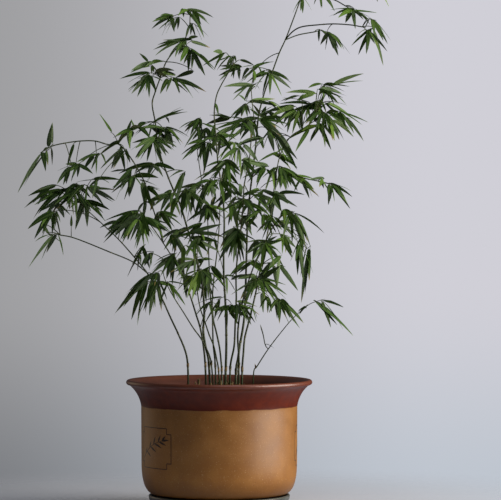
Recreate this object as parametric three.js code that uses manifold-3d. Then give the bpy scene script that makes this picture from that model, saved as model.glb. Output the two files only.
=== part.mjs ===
// A potted clumping bamboo: a glazed pot on a saucer, soil, and thirteen leafy culms.
// Millimetres, +Z up, the viewer looks along +Y. The origin is the centre of the saucer's underside.
import * as THREE from 'three';
import { mergeVertices } from 'three/addons/utils/BufferGeometryUtils.js';
import Module from 'manifold-3d';

const wasm = await Module();
wasm.setup();

// Pot and saucer. A bend is the place that a curve's two ends aim at.
const RIM_RADIUS = 149;
const RIM_HEIGHT = 203;
const LIP_RADIUS = 4;
const LIP_REACH = 6;
const LIP_DEPTH = 5;
const LIP_FOOT_ANGLE = -Math.PI / 3;
const MOUTH_RADIUS = 134;
const MOUTH_DEPTH = 2;
const THROAT_BEND_RADIUS = 119;
const THROAT_BEND_HEIGHT = 190;
const NECK_RADIUS = 125;
const NECK_HEIGHT = 165;
const NECK_BEND_RADIUS = 128;
const NECK_BEND_HEIGHT = 185;
const BODY_RADIUS = 124.5;
const BODY_WIDEST_HEIGHT = 72;
const BODY_BEND_RADIUS = 124;
const BODY_BEND_HEIGHT = 34;
const BODY_FOOT_RADIUS = 108;
const BODY_FOOT_HEIGHT = 25;
const BODY_FOOT_STEP = 4;
const FOOT_RADIUS = 95;
const FOOT_WIDTH = 10;
const WALL = 8;
const WALL_INSIDE_TOP = 160;
const WALL_INSIDE_FOOT = 60;
const POT_FLOOR_UNDERSIDE = 16;
const POT_FLOOR_THICKNESS = 10;
const POT_FLOOR_BEND_RISE = 2;
const POT_FLOOR_INSET = 20;
const DRAIN_RADIUS = 12;
const SAUCER_RADIUS = 113;
const SAUCER_BEND_RADIUS = 111;
const SAUCER_BEND_HEIGHT = 3;
const SAUCER_BASE_RADIUS = 101;
const SAUCER_HEIGHT = 23.5;
const SAUCER_FLOOR = 4;
const SAUCER_WALL = 4.5;
const GAP = 0.3;
const ROUND_SIDES = 32;
const CURVE_STEPS = 2;
const MERGE_REACH = 1e-4;

// Soil and the culms' footing in it
const SOIL_EDGE_HEIGHT = 177;
const SOIL_EDGE_FLARE = 1.5;
const SOIL_CROWN_HEIGHT = 181;
const SOIL_FLOOR_INSET = 22;
const SOIL_HAUNCH_INSET = 5;
const SOIL_HAUNCH_RISE = 11;
const CULM_DEPTH_IN_SOIL = 24;
const HOLE_SIDES = 6;

// Finishes
const SLATE_GLAZE = { color: 0x43464a, roughness: 0.6 };
const POT_GLAZE = { color: 0x8c5f34, roughness: 0.35 };
const POTTING_MIX = { color: 0x2e241c, roughness: 0.95 };
const BAMBOO_GREENS = [{ color: 0x3a6a2a, roughness: 0.5 }, { color: 0x2f5a24, roughness: 0.5 }];

// The eye of the photograph, and what one of its pixels spans at the pot's axis
const EYE = new THREE.Vector3(50, -4500, 463);
const MM_PER_PIXEL = 1.6;
const AXIS_COLUMN = 219;
const RIM_ROW = 382;
// The photograph doesn't show the clump's depth: the depths below are spread by this much
const DEPTH_SPREAD = 1.3;

// Culms, twigs and blades
const CULM_SIDES = 4;
const TWIG_SIDES = 3;
const CULM_TAPER = 0.62;
const CULM_TIP_LENGTH = 6;
const TWIG_DIAMETER = 2.2;
const TWIG_TIP_DIAMETER = 1.9;
const TWIG_NECK = 4;
const TWIG_STEPS = 2;
const TWIG_ARCH = 0.18;
const TWIG_LEVEL = 0.4;
const SHOOT_TIP_LENGTH = 4;
const LEAF_SPACING = 4;
const BLADE_ROOT_DEPTH = 0.4;
const KEEL_RISE = 0.3;
// Place along the blade, share of its full width, and depth of its keel
const BLADE_STATIONS = [[0.15, 0.88, 1.3], [0.56, 0.84, 1.3]];
// Of a spray's leaves, the share that is solid here
const SOLID_SHARE = 0.68;
// A leaf's degrees off its shoot fall from the shoot's foot to its tip, and its length grows. Seeded
// draws spread both, and the pitch, roll, width and droop.
const LEAF_TURN_AT_FOOT = 95;
const LEAF_TURN_FALL = 80;
const LEAF_HEADING_SPREAD = 20;
const LEAF_PITCH_SPREAD = 50;
const LEAF_ROLL_SPREAD = 90;
const LEAF_LENGTH_AT_FOOT = 0.78;
const LEAF_LENGTH_GAIN = 0.22;
const LEAF_LENGTH_SPREAD = 0.12;
const LEAF_LEAST_WIDTH = 3.2;
const LEAF_WIDTH_PER_LENGTH = 0.06;
const LEAF_BREADTH = 0.85;
const LEAF_BREADTH_SPREAD = 0.3;
const LEAF_DROOP = 0.08;
const LEAF_DROOP_SPREAD = 0.3;
const BALL_PLACES = [0.15, 0.28, 0.41, 0.54, 0.67, 0.8, 0.93, 1.0];
const BALL_MARGIN = 0.9;
const STEM_BALL_STEP = 3;

// The simple congruence that the seeded draws come from
const DRAW_RANGE = 4294967296;
const DRAW_FACTOR = 1664525;
const DRAW_STEP = 1013904223;
const SEED_FACTOR = 7919;
const SKIPPED_DRAWS = 3;

// A culm's route and each spray are written as they show in the photograph: column, row, and depth in
// millimetres behind the pot's axis. A spray is [joint of the route, column, row, depth, heading,
// pitch, leaves, longest leaf in millimetres]. A branch is [diameter, joint, route, sprays].
const CULMS = [
  {
    name: 'culm_far_left', diameter: 3.6,
    route: [[188, 397, 0], [187.5, 366, 0], [185, 351, -2], [178, 334, -5], [170, 317, -8],
      [160, 295, -12], [147, 273, -16], [134, 257, -18], [118, 239, -18], [100, 222, -14],
      [88, 211, -10], [80, 203, -8]],
    sprays: [[10, 62, 189, -10, 185, -28, 6, 64], [11, 75, 193, -40, 260, -45, 6, 50],
      [10, 88, 201, 20, 345, -20, 5, 42], [9, 52, 212, -40, 205, -40, 5, 42],
      [7, 139, 254, 5, 240, -60, 3, 26], [5, 148, 282, -45, 195, -45, 5, 56],
      [5, 157, 281, -62, 275, -60, 5, 48]],
    branches: [
      [2.0, 6, [[132, 261.5, -25], [107, 251, -38], [85, 242, -46], [71, 237, -52], [60, 235, -55]],
        [[4, 71, 227, -48, 90, 75, 1, 20], [5, 53, 235, -58, 205, -35, 4, 46]]],
    ],
  },
  {
    name: 'culm_lean_left', diameter: 3.0,
    route: [[213.5, 397, -20], [211.5, 368, -24], [209, 355, -27], [201, 339, -32], [193, 328, -40],
      [183, 312, -50], [174, 298, -60], [167, 285, -72], [163, 272, -82], [166, 262, -88]],
    sprays: [[7, 169, 283, -84, 300, -45, 5, 44], [9, 172, 257, -98, 280, -50, 4, 40],
      [8, 153, 273, -100, 190, -30, 4, 46], [9, 148, 254, -96, 200, -50, 3, 26]],
    branches: [],
  },
  {
    name: 'culm_left', diameter: 3.8,
    route: [[206, 397, -12], [205, 365, -12], [203, 345, -13], [200, 328, -14], [196, 315, -15],
      [191, 299, -18], [186, 285, -20], [180, 270, -24], [172, 257, -28], [163, 243, -34],
      [152, 227, -42], [143, 217, -48]],
    sprays: [[11, 128, 213, -55, 185, -25, 5, 46], [11, 138, 219, -85, 265, -45, 6, 48],
      [10, 151, 220, -62, 335, -25, 4, 42], [9, 161, 213, -20, 335, -30, 4, 38],
      [3, 207, 303, -46, 230, -40, 4, 30]],
    branches: [
      [2.2, 9, [[157, 222, -30], [151, 203, -26], [145, 184, -22], [137, 168, -18], [127, 153, -14],
        [118, 144, -12], [108, 144.5, -14], [95, 141, -18], [80, 141, -22], [65, 143, -26],
        [52, 146, -30], [43, 151, -34]],
      [[3, 148, 187, -50, 350, -15, 3, 24], [4, 130, 177, -44, 215, -30, 5, 42],
        [5, 125, 150, -34, 250, -60, 3, 42], [6, 128, 132, 10, 190, -25, 4, 26],
        [6, 96, 154, -40, 195, -25, 4, 36], [6, 74, 165, -50, 190, -35, 4, 36],
        [6, 112, 133, 5, 150, 55, 1, 40], [5, 97, 180, -60, 230, -30, 3, 36],
        [9, 74, 143, -24, 235, -62, 1, 40], [11, 52, 144, -30, 90, 80, 1, 38],
        [12, 46, 150, -34, 290, -65, 1, 28], [12, 42, 152, -34, 195, -55, 2, 78]]],
    ],
  },
  {
    name: 'culm_left_top', diameter: 4.2,
    route: [[210, 397, 14], [209, 370, 15], [208, 358, 16], [205, 345, 18], [203, 330, 20],
      [204, 312, 24], [202, 285, 30], [196, 258, 36], [187, 228, 42], [180, 205, 44],
      [172, 187, 44], [166, 172, 44], [161, 158, 44], [157, 140, 42], [155, 122, 40],
      [152, 104, 38], [155, 92, 36], [160, 78, 34], [166, 62, 32], [175, 50, 30], [184, 40, 28],
      [189, 28, 26], [190, 15, 24]],
    sprays: [[22, 188, 10, 24, 350, -15, 5, 40], [21, 174, 18, 20, 185, -25, 5, 36],
      [21, 194, 24, 8, 320, -35, 4, 32], [20, 180, 42, 10, 195, -30, 5, 42],
      [19, 195, 53, 34, 325, -45, 5, 44], [17, 176, 78, 20, 340, -35, 5, 44],
      [16, 146, 78, 24, 215, -35, 6, 38], [17, 161, 71, 60, 10, -5, 2, 26],
      [17, 150, 66, 50, 175, -20, 3, 34], [17, 148, 62, 55, 130, 40, 1, 28],
      [14, 148, 127, 60, 185, -25, 4, 30], [13, 152, 140, 20, 260, -50, 5, 42],
      [14, 167, 129, 50, 335, -30, 5, 36], [14, 165, 117, 30, 0, 22, 2, 40],
      [12, 156, 166, 30, 215, -25, 4, 40], [9, 186, 192, 20, 280, -65, 6, 46],
      [9, 172, 193, 10, 210, -50, 3, 26]],
    branches: [],
  },
  {
    name: 'culm_front', diameter: 3.0,
    route: [[220, 397, -20], [218, 368, -24], [216.5, 360, -26], [213.5, 346, -32],
      [209, 335, -40], [205, 323, -52], [200, 308, -70], [197, 290, -92], [197, 272, -112],
      [197, 255, -124], [197, 243, -130]],
    sprays: [[8, 199, 271, -140, 235, -40, 5, 42], [8, 212, 273, -122, 335, -30, 4, 34],
      [10, 195, 239, -150, 200, -30, 5, 36], [10, 204, 232, -128, 340, -20, 4, 34],
      [9, 190, 261, -160, 190, -35, 4, 34], [9, 183, 247, -120, 240, -55, 4, 34]],
    branches: [],
  },
  {
    name: 'culm_back_left', diameter: 3.2,
    route: [[215.5, 397, 20], [215, 365, 22], [213, 345, 24], [212.5, 330, 28], [212, 315, 33],
      [210, 295, 44], [209, 270, 60], [208, 240, 78], [207, 215, 92], [203, 190, 102],
      [199, 165, 110], [197, 150, 112], [198, 135, 112]],
    sprays: [[8, 208, 208, 80, 290, -45, 6, 36], [9, 197, 185, 128, 190, -25, 5, 42],
      [11, 205, 143, 90, 225, -40, 5, 42], [12, 195, 120, 108, 190, -35, 5, 36],
      [12, 204, 124, 128, 350, -30, 3, 30]],
    branches: [],
  },
  {
    name: 'culm_back', diameter: 3.4,
    route: [[222, 397, 8], [221.5, 372, 12], [220.5, 358, 16], [219, 346, 22], [216, 332, 32],
      [213, 319, 44], [212, 300, 62], [214, 275, 86], [217, 250, 108], [219, 225, 128],
      [220, 200, 144], [222, 180, 154], [227, 165, 160], [232, 150, 162]],
    sprays: [[11, 219, 169, 140, 205, -35, 5, 44], [13, 232, 143, 150, 215, -35, 5, 42],
      [12, 232, 182, 180, 320, -50, 4, 40], [8, 226, 276, 130, 300, -30, 4, 36],
      [9, 210, 240, 150, 200, -40, 4, 34], [10, 236, 212, 170, 340, -40, 4, 36]],
    branches: [],
  },
  {
    name: 'culm_middle', diameter: 4.4,
    route: [[224.5, 397, -8], [225.5, 368, -8], [226, 350, -8], [226, 330, -7], [225, 300, -5],
      [223.5, 275, -2], [223.5, 245, 2], [224, 220, 6], [222, 190, 10], [218, 165, 12],
      [216, 140, 14], [214, 115, 15], [216, 97, 16], [221, 85, 17], [228, 73, 18], [233, 65, 18]],
    sprays: [[15, 229, 57, 14, 190, -35, 5, 30], [15, 232, 69, 30, 215, -30, 4, 28],
      [15, 239, 60, 22, 0, -5, 1, 24], [11, 215, 103, 10, 290, -40, 1, 24],
      [10, 213, 137, 0, 200, -30, 5, 30], [6, 238, 234, -40, 275, -50, 5, 38],
      [4, 229, 305, -36, 245, -30, 5, 32]],
    branches: [],
  },
  {
    name: 'culm_middle_right', diameter: 3.6,
    route: [[229, 397, -24], [230, 368, -26], [231, 360, -27], [234, 345, -30], [235, 322, -34],
      [236, 300, -40], [236, 270, -50], [240, 235, -62], [243, 205, -72], [244, 185, -78],
      [249, 160, -84], [251, 140, -88], [254, 124, -90], [252, 103, -92], [251, 90, -92]],
    sprays: [[14, 252, 71, -84, 200, -30, 3, 30], [14, 249, 85, -104, 195, -20, 4, 38],
      [13, 243, 106, -110, 225, -50, 4, 26], [12, 240, 122, -110, 230, -40, 5, 44],
      [13, 268, 101, -70, 340, -20, 2, 30], [8, 242, 200, -104, 240, -45, 5, 46],
      [9, 253, 195, -90, 335, -20, 4, 46], [5, 239, 305, -70, 320, -35, 4, 34],
      [10, 238, 148, -120, 260, -60, 4, 44], [12, 260, 116, -84, 30, 25, 3, 34]],
    branches: [],
  },
  {
    name: 'culm_tall', diameter: 4.2,
    route: [[235, 397, 16], [236, 368, 18], [237.5, 360, 19], [239.5, 346, 22], [243.5, 322, 26],
      [245, 300, 30], [246, 265, 36], [247, 230, 42], [249, 200, 46], [252, 175, 48],
      [255, 150, 50], [257, 128, 50], [259, 112, 50], [265, 90, 48], [272, 72, 46], [279, 53, 44],
      [285, 40, 42], [292, 22, 40], [300, 0, 38], [306, -18, 36], [311, -34, 34]],
    sprays: [[14, 270, 73, 20, 290, -40, 5, 46], [15, 256, 67, 60, 190, -20, 3, 32],
      [12, 271, 112, 64, 345, -20, 4, 34], [20, 309, -39, 30, 200, -30, 5, 40],
      [20, 317, -35, 36, 340, -20, 4, 40], [19, 322, -6, 20, 320, -50, 4, 34],
      [19, 302, -2, 50, 250, -50, 3, 30]],
    branches: [
      [2.2, 16, [[292, 32, 36], [301, 27, 30], [317, 25, 24], [333, 24, 18], [350, 25, 12], [362, 27, 8]],
        [[6, 369, 31, 0, 320, -50, 5, 46], [6, 374, 20, 10, 345, -30, 4, 46]]],
      [1.8, 16, [[298, 35, 52], [314, 32, 60]],
        [[2, 321, 30, 64, 350, -40, 3, 30], [2, 332, 34, 66, 330, -45, 4, 38]]],
      [1.8, 18, [[318, -4, 30], [334, 0, 24], [345, 6, 20]],
        [[3, 347, 9, 14, 200, -25, 4, 28], [3, 356, 12, 18, 340, -25, 4, 36]]],
      [1.8, 19, [[335, -28, 20], [362, -22, 10], [374, -13, 6]],
        [[3, 378, -12, 4, 330, -50, 4, 36]]],
    ],
  },
  {
    name: 'culm_right', diameter: 3.8,
    route: [[238, 397, -10], [238.5, 368, -12], [238.5, 355, -14], [237.5, 335, -18],
      [240, 312, -24], [247, 285, -34], [256, 260, -44], [264, 244, -50], [274, 225, -56],
      [284, 214, -60], [291, 212, -62]],
    sprays: [[7, 265, 243, -80, 270, -40, 5, 46], [8, 258, 212, -90, 200, -25, 4, 40],
      [8, 274, 217, -40, 320, -40, 4, 44], [10, 294, 213, -66, 330, -60, 4, 58],
      [9, 300, 245, -84, 300, -65, 4, 62], [5, 253, 281, -60, 220, -45, 5, 42],
      [5, 264, 281, -40, 335, -35, 5, 46], [5, 268, 297, -50, 270, -60, 3, 26],
      [4, 252, 307, -60, 300, -60, 3, 24], [5, 281, 301, -64, 320, -55, 5, 44]],
    branches: [],
  },
  {
    name: 'culm_right_tall', diameter: 3.6,
    route: [[241.5, 397, 6], [242, 368, 7], [243, 355, 8], [244.5, 338, 10], [249, 320, 14],
      [255, 295, 20], [261, 265, 28], [267, 235, 36], [272, 205, 44], [275, 180, 50],
      [280, 155, 56], [290, 137, 60], [302, 129, 62], [314, 121, 62]],
    sprays: [[13, 328, 91, 50, 0, -20, 5, 36], [13, 316, 101, 84, 190, -25, 5, 38],
      [13, 325, 113, 30, 300, -50, 6, 48], [13, 341, 112, 62, 345, -40, 5, 46],
      [12, 303, 109, 84, 195, -30, 5, 38], [13, 322, 124, 70, 270, -60, 4, 42],
      [12, 297, 96, 60, 180, -5, 4, 28], [13, 327, 87, 76, 5, 20, 1, 60],
      [10, 268, 127, 80, 320, -50, 1, 90], [10, 273, 129, 90, 280, -70, 4, 44],
      [9, 281, 168, 30, 310, -45, 4, 42], [9, 262, 170, 70, 200, -30, 4, 36]],
    branches: [
      [1.8, 9, [[290, 174, 44], [303, 178, 38], [318, 181, 34], [330, 184, 30]],
        [[2, 304, 181, 30, 330, -40, 4, 34], [4, 333, 185, 26, 340, -35, 5, 38]]],
    ],
  },
  {
    name: 'culm_low_right', diameter: 2.4,
    route: [[252.5, 397, -4], [253.5, 372, -6], [257, 366, -7], [268, 349, -12], [281, 332, -18],
      [293, 318, -24], [308, 305, -28], [316, 301.5, -30], [321, 300, -30]],
    sprays: [[8, 322, 300, -30, 345, -45, 2, 60], [8, 321, 301, -34, 325, -60, 1, 46],
      [6, 306, 306, -34, 200, -20, 2, 16], [7, 316, 302, -26, 340, -40, 1, 14]],
    branches: [
      [1.4, 3, [[265, 345, -14], [263, 335, -16], [261, 328, -18]],
        [[1, 266, 344, -14, 350, -15, 1, 14]]],
    ],
  },
];

// Turns a leaf may take, in degrees of heading and pitch, until it hangs clear of the other culms
const LEAF_TURNS = [[0, 0], [14, 0], [-14, 0], [0, -16], [0, 16], [28, -8], [-28, -8], [28, 12],
  [-28, 12], [0, -32], [42, 0], [-42, 0], [58, -12], [-58, -12], [58, 14], [-58, 14], [84, -6],
  [-84, -6], [120, -10], [-120, -10], [180, -10]];
// Shifts in depth that a spray's twig may take for the same reason
const TWIG_SHIFTS = [0, 8, -8, 16, -16, 24, -24, 34, -34];

const UP = new THREE.Vector3(0, 0, 1);

// The point that shows at a column and row of the photograph and lies depth behind the pot's axis
function seen([column, row, depth]) {
  const behind = depth * DEPTH_SPREAD;
  const onAxisPlane = new THREE.Vector3((column - AXIS_COLUMN) * MM_PER_PIXEL, 0,
    RIM_HEIGHT + (RIM_ROW - row) * MM_PER_PIXEL);
  const stretch = (behind - EYE.y) / -EYE.y;
  return onAxisPlane.sub(EYE).multiplyScalar(stretch).add(EYE);
}

// A seeded draw between 0 and 1. The first few are skipped, because those of near seeds are alike.
function makeDraw(seed) {
  let state = (seed * SEED_FACTOR) % DRAW_RANGE;
  const draw = () => {
    state = (DRAW_FACTOR * state + DRAW_STEP) % DRAW_RANGE;
    return state / DRAW_RANGE;
  };
  for (let i = 0; i < SKIPPED_DRAWS; i += 1) draw();
  return draw;
}

function direction(headingDegrees, pitchDegrees) {
  const heading = THREE.MathUtils.degToRad(headingDegrees);
  const pitch = THREE.MathUtils.degToRad(pitchDegrees);
  return new THREE.Vector3(Math.cos(heading) * Math.cos(pitch),
    Math.sin(heading) * Math.cos(pitch), Math.sin(pitch));
}

// A closed solid from rings of equal count; at either end, a ring of one point is a tip
function solidFromRings(rings) {
  const positions = [];
  const starts = [];
  for (const ring of rings) {
    starts.push(positions.length / 3);
    for (const point of ring) positions.push(point.x, point.y, point.z);
  }
  const faces = [];
  const first = rings[0];
  for (let k = 1; k < first.length - 1; k += 1) faces.push(0, k + 1, k);
  for (let i = 0; i < rings.length - 1; i += 1) {
    const count = Math.max(rings[i].length, rings[i + 1].length);
    for (let k = 0; k < count; k += 1) {
      const next = (k + 1) % count;
      const a = starts[i] + k;
      const b = starts[i] + next;
      const c = starts[i + 1] + next;
      const d = starts[i + 1] + k;
      if (rings[i].length === 1) faces.push(starts[i], c, d);
      else if (rings[i + 1].length === 1) faces.push(a, b, starts[i + 1]);
      else faces.push(a, b, c, a, c, d);
    }
  }
  const last = rings[rings.length - 1];
  const lastStart = starts[rings.length - 1];
  for (let k = 1; k < last.length - 1; k += 1) faces.push(lastStart, lastStart + k, lastStart + k + 1);
  return new wasm.Manifold(new wasm.Mesh({
    numProp: 3,
    vertProperties: new Float32Array(positions),
    triVerts: new Uint32Array(faces),
  }));
}

// A tapering limb of few flat sides along a line of points. Its ends are flat or come to a point.
// A three-sided limb has its flat side up, so that the leaves leave through its two lower sides.
function limb(points, startRadius, endRadius, sides, pointedStart, pointedEnd) {
  const rings = points.map((point, i) => {
    if ((pointedStart && i === 0) || (pointedEnd && i === points.length - 1)) return [point];
    const before = points[Math.max(0, i - 1)];
    const after = points[Math.min(points.length - 1, i + 1)];
    const along = after.clone().sub(before).normalize();
    const side = new THREE.Vector3(0, 1, 0).cross(along).normalize();
    const front = along.clone().cross(side);
    const radius = startRadius + ((endRadius - startRadius) * i) / (points.length - 1);
    return Array.from({ length: sides }, (_, k) => {
      const turn = (2 * Math.PI * (sides === 3 ? k : k + 0.5)) / sides;
      return point.clone()
        .addScaledVector(side, radius * Math.cos(turn))
        .addScaledVector(front, radius * Math.sin(turn));
    });
  });
  return solidFromRings(rings);
}

// One leaf blade: its midrib droops from the root, and its width runs across at a small roll
function bladeAt(leaf, place) {
  const { root, heading, pitch, length, droop, roll } = leaf;
  const straight = direction(heading, pitch);
  const fall = UP.clone().negate().addScaledVector(straight, straight.z);
  const point = root.clone()
    .addScaledVector(straight, length * place)
    .addScaledVector(fall, length * droop * place * place);
  const along = straight.clone().addScaledVector(fall, 2 * droop * place).normalize();
  const level = straight.clone().cross(UP).normalize();
  const across = level.clone().multiplyScalar(Math.cos(roll))
    .addScaledVector(along.clone().cross(level), Math.sin(roll));
  return { point, along, across, under: along.clone().cross(across) };
}

// The blade's outline: share of its full width at a place along it, most at two fifths
function bladeWidth(place) {
  return 1.86 * Math.pow(place, 0.5) * Math.pow(1 - place, 0.75);
}

// The solid blade: a pointed root inside the shoot, two keeled sections and the tip
function bladeSolid(leaf) {
  const rings = BLADE_STATIONS.map(([place, share, keel]) => {
    const { point, across, under } = bladeAt(leaf, place);
    const reach = (share * leaf.width) / 2;
    point.addScaledVector(under, -KEEL_RISE * keel);
    return [
      point.clone().addScaledVector(across, reach),
      point.clone().addScaledVector(under, keel),
      point.clone().addScaledVector(across, -reach),
    ];
  });
  const root = leaf.root.clone().addScaledVector(direction(leaf.heading, leaf.pitch), -BLADE_ROOT_DEPTH);
  return solidFromRings([[root], ...rings, [bladeAt(leaf, 1).point]]);
}

// Balls along each stem and blade keep count of the room that is taken
const taken = [];

function stemBalls(points, startRadius, endRadius, node) {
  const balls = [];
  for (let i = 0; i < points.length - 1; i += 1) {
    const span = points[i].distanceTo(points[i + 1]);
    const steps = Math.max(1, Math.ceil(span / STEM_BALL_STEP));
    for (let k = 0; k < steps; k += 1) {
      const share = (i + k / steps) / (points.length - 1);
      balls.push({
        point: points[i].clone().lerp(points[i + 1], k / steps),
        radius: startRadius + (endRadius - startRadius) * share,
        node,
      });
    }
  }
  return balls;
}

function leafBalls(leaf, node) {
  return BALL_PLACES.map((place) => ({
    point: bladeAt(leaf, place).point,
    radius: (bladeWidth(place) * leaf.width) / 2,
    node,
  }));
}

function isClear(balls) {
  return balls.every((ball) => taken.every((other) => other.node === ball.node
    || other.point.distanceTo(ball.point) > other.radius + ball.radius + BALL_MARGIN));
}

// A limb that grows from another starts as a point on its axis and is full just outside it
function withNeck(points) {
  const reach = points[0].distanceTo(points[1]);
  if (reach < 2 * TWIG_NECK) return points;
  return [points[0], points[0].clone().lerp(points[1], TWIG_NECK / reach), ...points.slice(1)];
}

function withTip(points, length) {
  const last = points[points.length - 1];
  const along = last.clone().sub(points[points.length - 2]).normalize();
  return [...points, last.clone().addScaledVector(along, length)];
}

// The twig that carries a spray leaves the culm, arches up a little and ends in a short leafy shoot
function planTwig(start, spray, shift) {
  const [, column, row, depth, heading, pitch, leaves] = spray;
  const end = seen([column, row, depth + shift]);
  const ahead = direction(heading, pitch * TWIG_LEVEL);
  const shoot = ahead.clone().multiplyScalar(LEAF_SPACING * (solidCount(leaves) - 1));
  const foot = end.clone().sub(shoot);
  const arch = start.clone().lerp(foot, 0.5).addScaledVector(UP, TWIG_ARCH * foot.distanceTo(start));
  const curve = new THREE.QuadraticBezierCurve3(start, arch, foot);
  const tip = end.clone().addScaledVector(ahead, SHOOT_TIP_LENGTH);
  return { points: [...curve.getPoints(TWIG_STEPS), tip], foot, shoot };
}

function placeTwig(culm, start, spray) {
  const radii = [TWIG_DIAMETER / 2, TWIG_TIP_DIAMETER / 2];
  let twig = planTwig(start, spray, 0);
  for (const shift of TWIG_SHIFTS) {
    const tried = planTwig(start, spray, shift);
    if (isClear(stemBalls(tried.points, ...radii, culm.name))) {
      twig = tried;
      break;
    }
  }
  taken.push(...stemBalls(twig.points, ...radii, culm.name));
  culm.limbs.push([withNeck(twig.points), ...radii, TWIG_SIDES, true, true]);
  return twig;
}

function solidCount(leaves) {
  return Math.max(1, Math.round(leaves * SOLID_SHARE));
}

// Leaves stand off both sides of the shoot in turn, wider at its foot and closer at its tip
function placeLeaves(culm, twig, spray, number) {
  const [, , , , heading, pitch, , longest] = spray;
  const leaves = solidCount(spray[6]);
  const draw = makeDraw(number);
  for (let i = 0; i < leaves; i += 1) {
    const along = leaves === 1 ? 1 : i / (leaves - 1);
    const side = (i + number) % 2 === 1 ? 1 : -1;
    const turn = leaves === 1 ? 0 : side * (LEAF_TURN_AT_FOOT - LEAF_TURN_FALL * along);
    const headingDraw = draw() - 0.5;
    const pitchDraw = draw() - 0.5;
    const lengthDraw = draw() - 0.5;
    const widthDraw = draw();
    const droopDraw = draw();
    const rollDraw = draw() - 0.5;
    const grown = LEAF_LENGTH_AT_FOOT + LEAF_LENGTH_GAIN * along;
    const length = longest * (grown + LEAF_LENGTH_SPREAD * lengthDraw);
    const width = LEAF_LEAST_WIDTH + LEAF_WIDTH_PER_LENGTH * length;
    const leaf = {
      root: twig.foot.clone().addScaledVector(twig.shoot, along),
      length,
      width: width * (LEAF_BREADTH + LEAF_BREADTH_SPREAD * widthDraw),
      droop: LEAF_DROOP + LEAF_DROOP_SPREAD * droopDraw,
      roll: THREE.MathUtils.degToRad(LEAF_ROLL_SPREAD * rollDraw),
    };
    const spread = leaves === 1 ? 0 : 1;
    const settled = LEAF_TURNS.some(([headingTurn, pitchTurn]) => {
      leaf.heading = heading + turn + spread * LEAF_HEADING_SPREAD * headingDraw + headingTurn;
      leaf.pitch = pitch + spread * LEAF_PITCH_SPREAD * pitchDraw + pitchTurn;
      return isClear(leafBalls(leaf, culm.name));
    });
    if (settled) {
      taken.push(...leafBalls(leaf, culm.name));
      culm.leaves.push(leaf);
    }
  }
}

// Culms and branches first, then every twig, then every leaf, so that leaves give way to stems
function growClump() {
  const culms = CULMS.map((plan) => ({ name: plan.name, limbs: [], leaves: [], sprays: [] }));
  CULMS.forEach((plan, index) => {
    const culm = culms[index];
    const route = plan.route.map(seen);
    const down = route[0].clone().sub(route[1]).normalize();
    const foot = route[0].clone().addScaledVector(down, CULM_DEPTH_IN_SOIL);
    const radius = plan.diameter / 2;
    const tip = radius * (1 - CULM_TAPER);
    culm.footing = { foot, radius, down };
    culm.limbs.push([withTip([foot, ...route], CULM_TIP_LENGTH), radius, tip, CULM_SIDES, false, true]);
    taken.push(...stemBalls([foot, ...route], radius, tip, culm.name));
    plan.sprays.forEach((spray) => culm.sprays.push([route[spray[0]], spray]));
    plan.branches.forEach(([diameter, joint, points, sprays]) => {
      const path = [route[joint], ...points.map(seen)];
      culm.limbs.push([withTip(withNeck(path), CULM_TIP_LENGTH), diameter / 2, TWIG_TIP_DIAMETER / 2,
        TWIG_SIDES, true, true]);
      taken.push(...stemBalls(path, diameter / 2, TWIG_TIP_DIAMETER / 2, culm.name));
      sprays.forEach((spray) => culm.sprays.push([path[spray[0]], spray]));
    });
  });
  const shoots = [];
  culms.forEach((culm) => culm.sprays.forEach(([start, spray]) => {
    shoots.push([culm, placeTwig(culm, start, spray), spray]);
  }));
  shoots.forEach(([culm, twig, spray], index) => placeLeaves(culm, twig, spray, index + 1));
  return culms;
}

function manifoldFrom(geometry) {
  const plain = geometry.clone();
  plain.deleteAttribute('normal');
  plain.deleteAttribute('uv');
  const merged = mergeVertices(plain, MERGE_REACH);
  return new wasm.Manifold(new wasm.Mesh({
    numProp: 3,
    vertProperties: new Float32Array(merged.attributes.position.array),
    triVerts: new Uint32Array(merged.index.array),
  }));
}

function geometryFrom(solid) {
  const mesh = solid.getMesh();
  const geometry = new THREE.BufferGeometry();
  geometry.setAttribute('position', new THREE.BufferAttribute(new Float32Array(mesh.vertProperties), 3));
  geometry.setIndex(new THREE.BufferAttribute(new Uint32Array(mesh.triVerts), 1));
  geometry.computeVertexNormals();
  return geometry;
}

function meshOf(name, geometry, finish) {
  const material = new THREE.MeshStandardMaterial({ ...finish, metalness: 0, flatShading: true });
  const mesh = new THREE.Mesh(geometry, material);
  mesh.name = name;
  return mesh;
}

// A turned shape about +Z from its outline of radius and height
function turned(outline) {
  const geometry = new THREE.LatheGeometry(outline.getPoints(CURVE_STEPS), ROUND_SIDES);
  geometry.rotateX(Math.PI / 2);
  return geometry;
}

function saucer() {
  const outline = new THREE.Path();
  outline.moveTo(0, 0);
  outline.lineTo(SAUCER_BASE_RADIUS, 0);
  outline.quadraticCurveTo(SAUCER_BEND_RADIUS, SAUCER_BEND_HEIGHT, SAUCER_RADIUS, SAUCER_HEIGHT);
  outline.lineTo(SAUCER_RADIUS - SAUCER_WALL, SAUCER_HEIGHT);
  outline.lineTo(SAUCER_BASE_RADIUS, SAUCER_FLOOR);
  outline.lineTo(0, SAUCER_FLOOR);
  return turned(outline);
}

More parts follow.
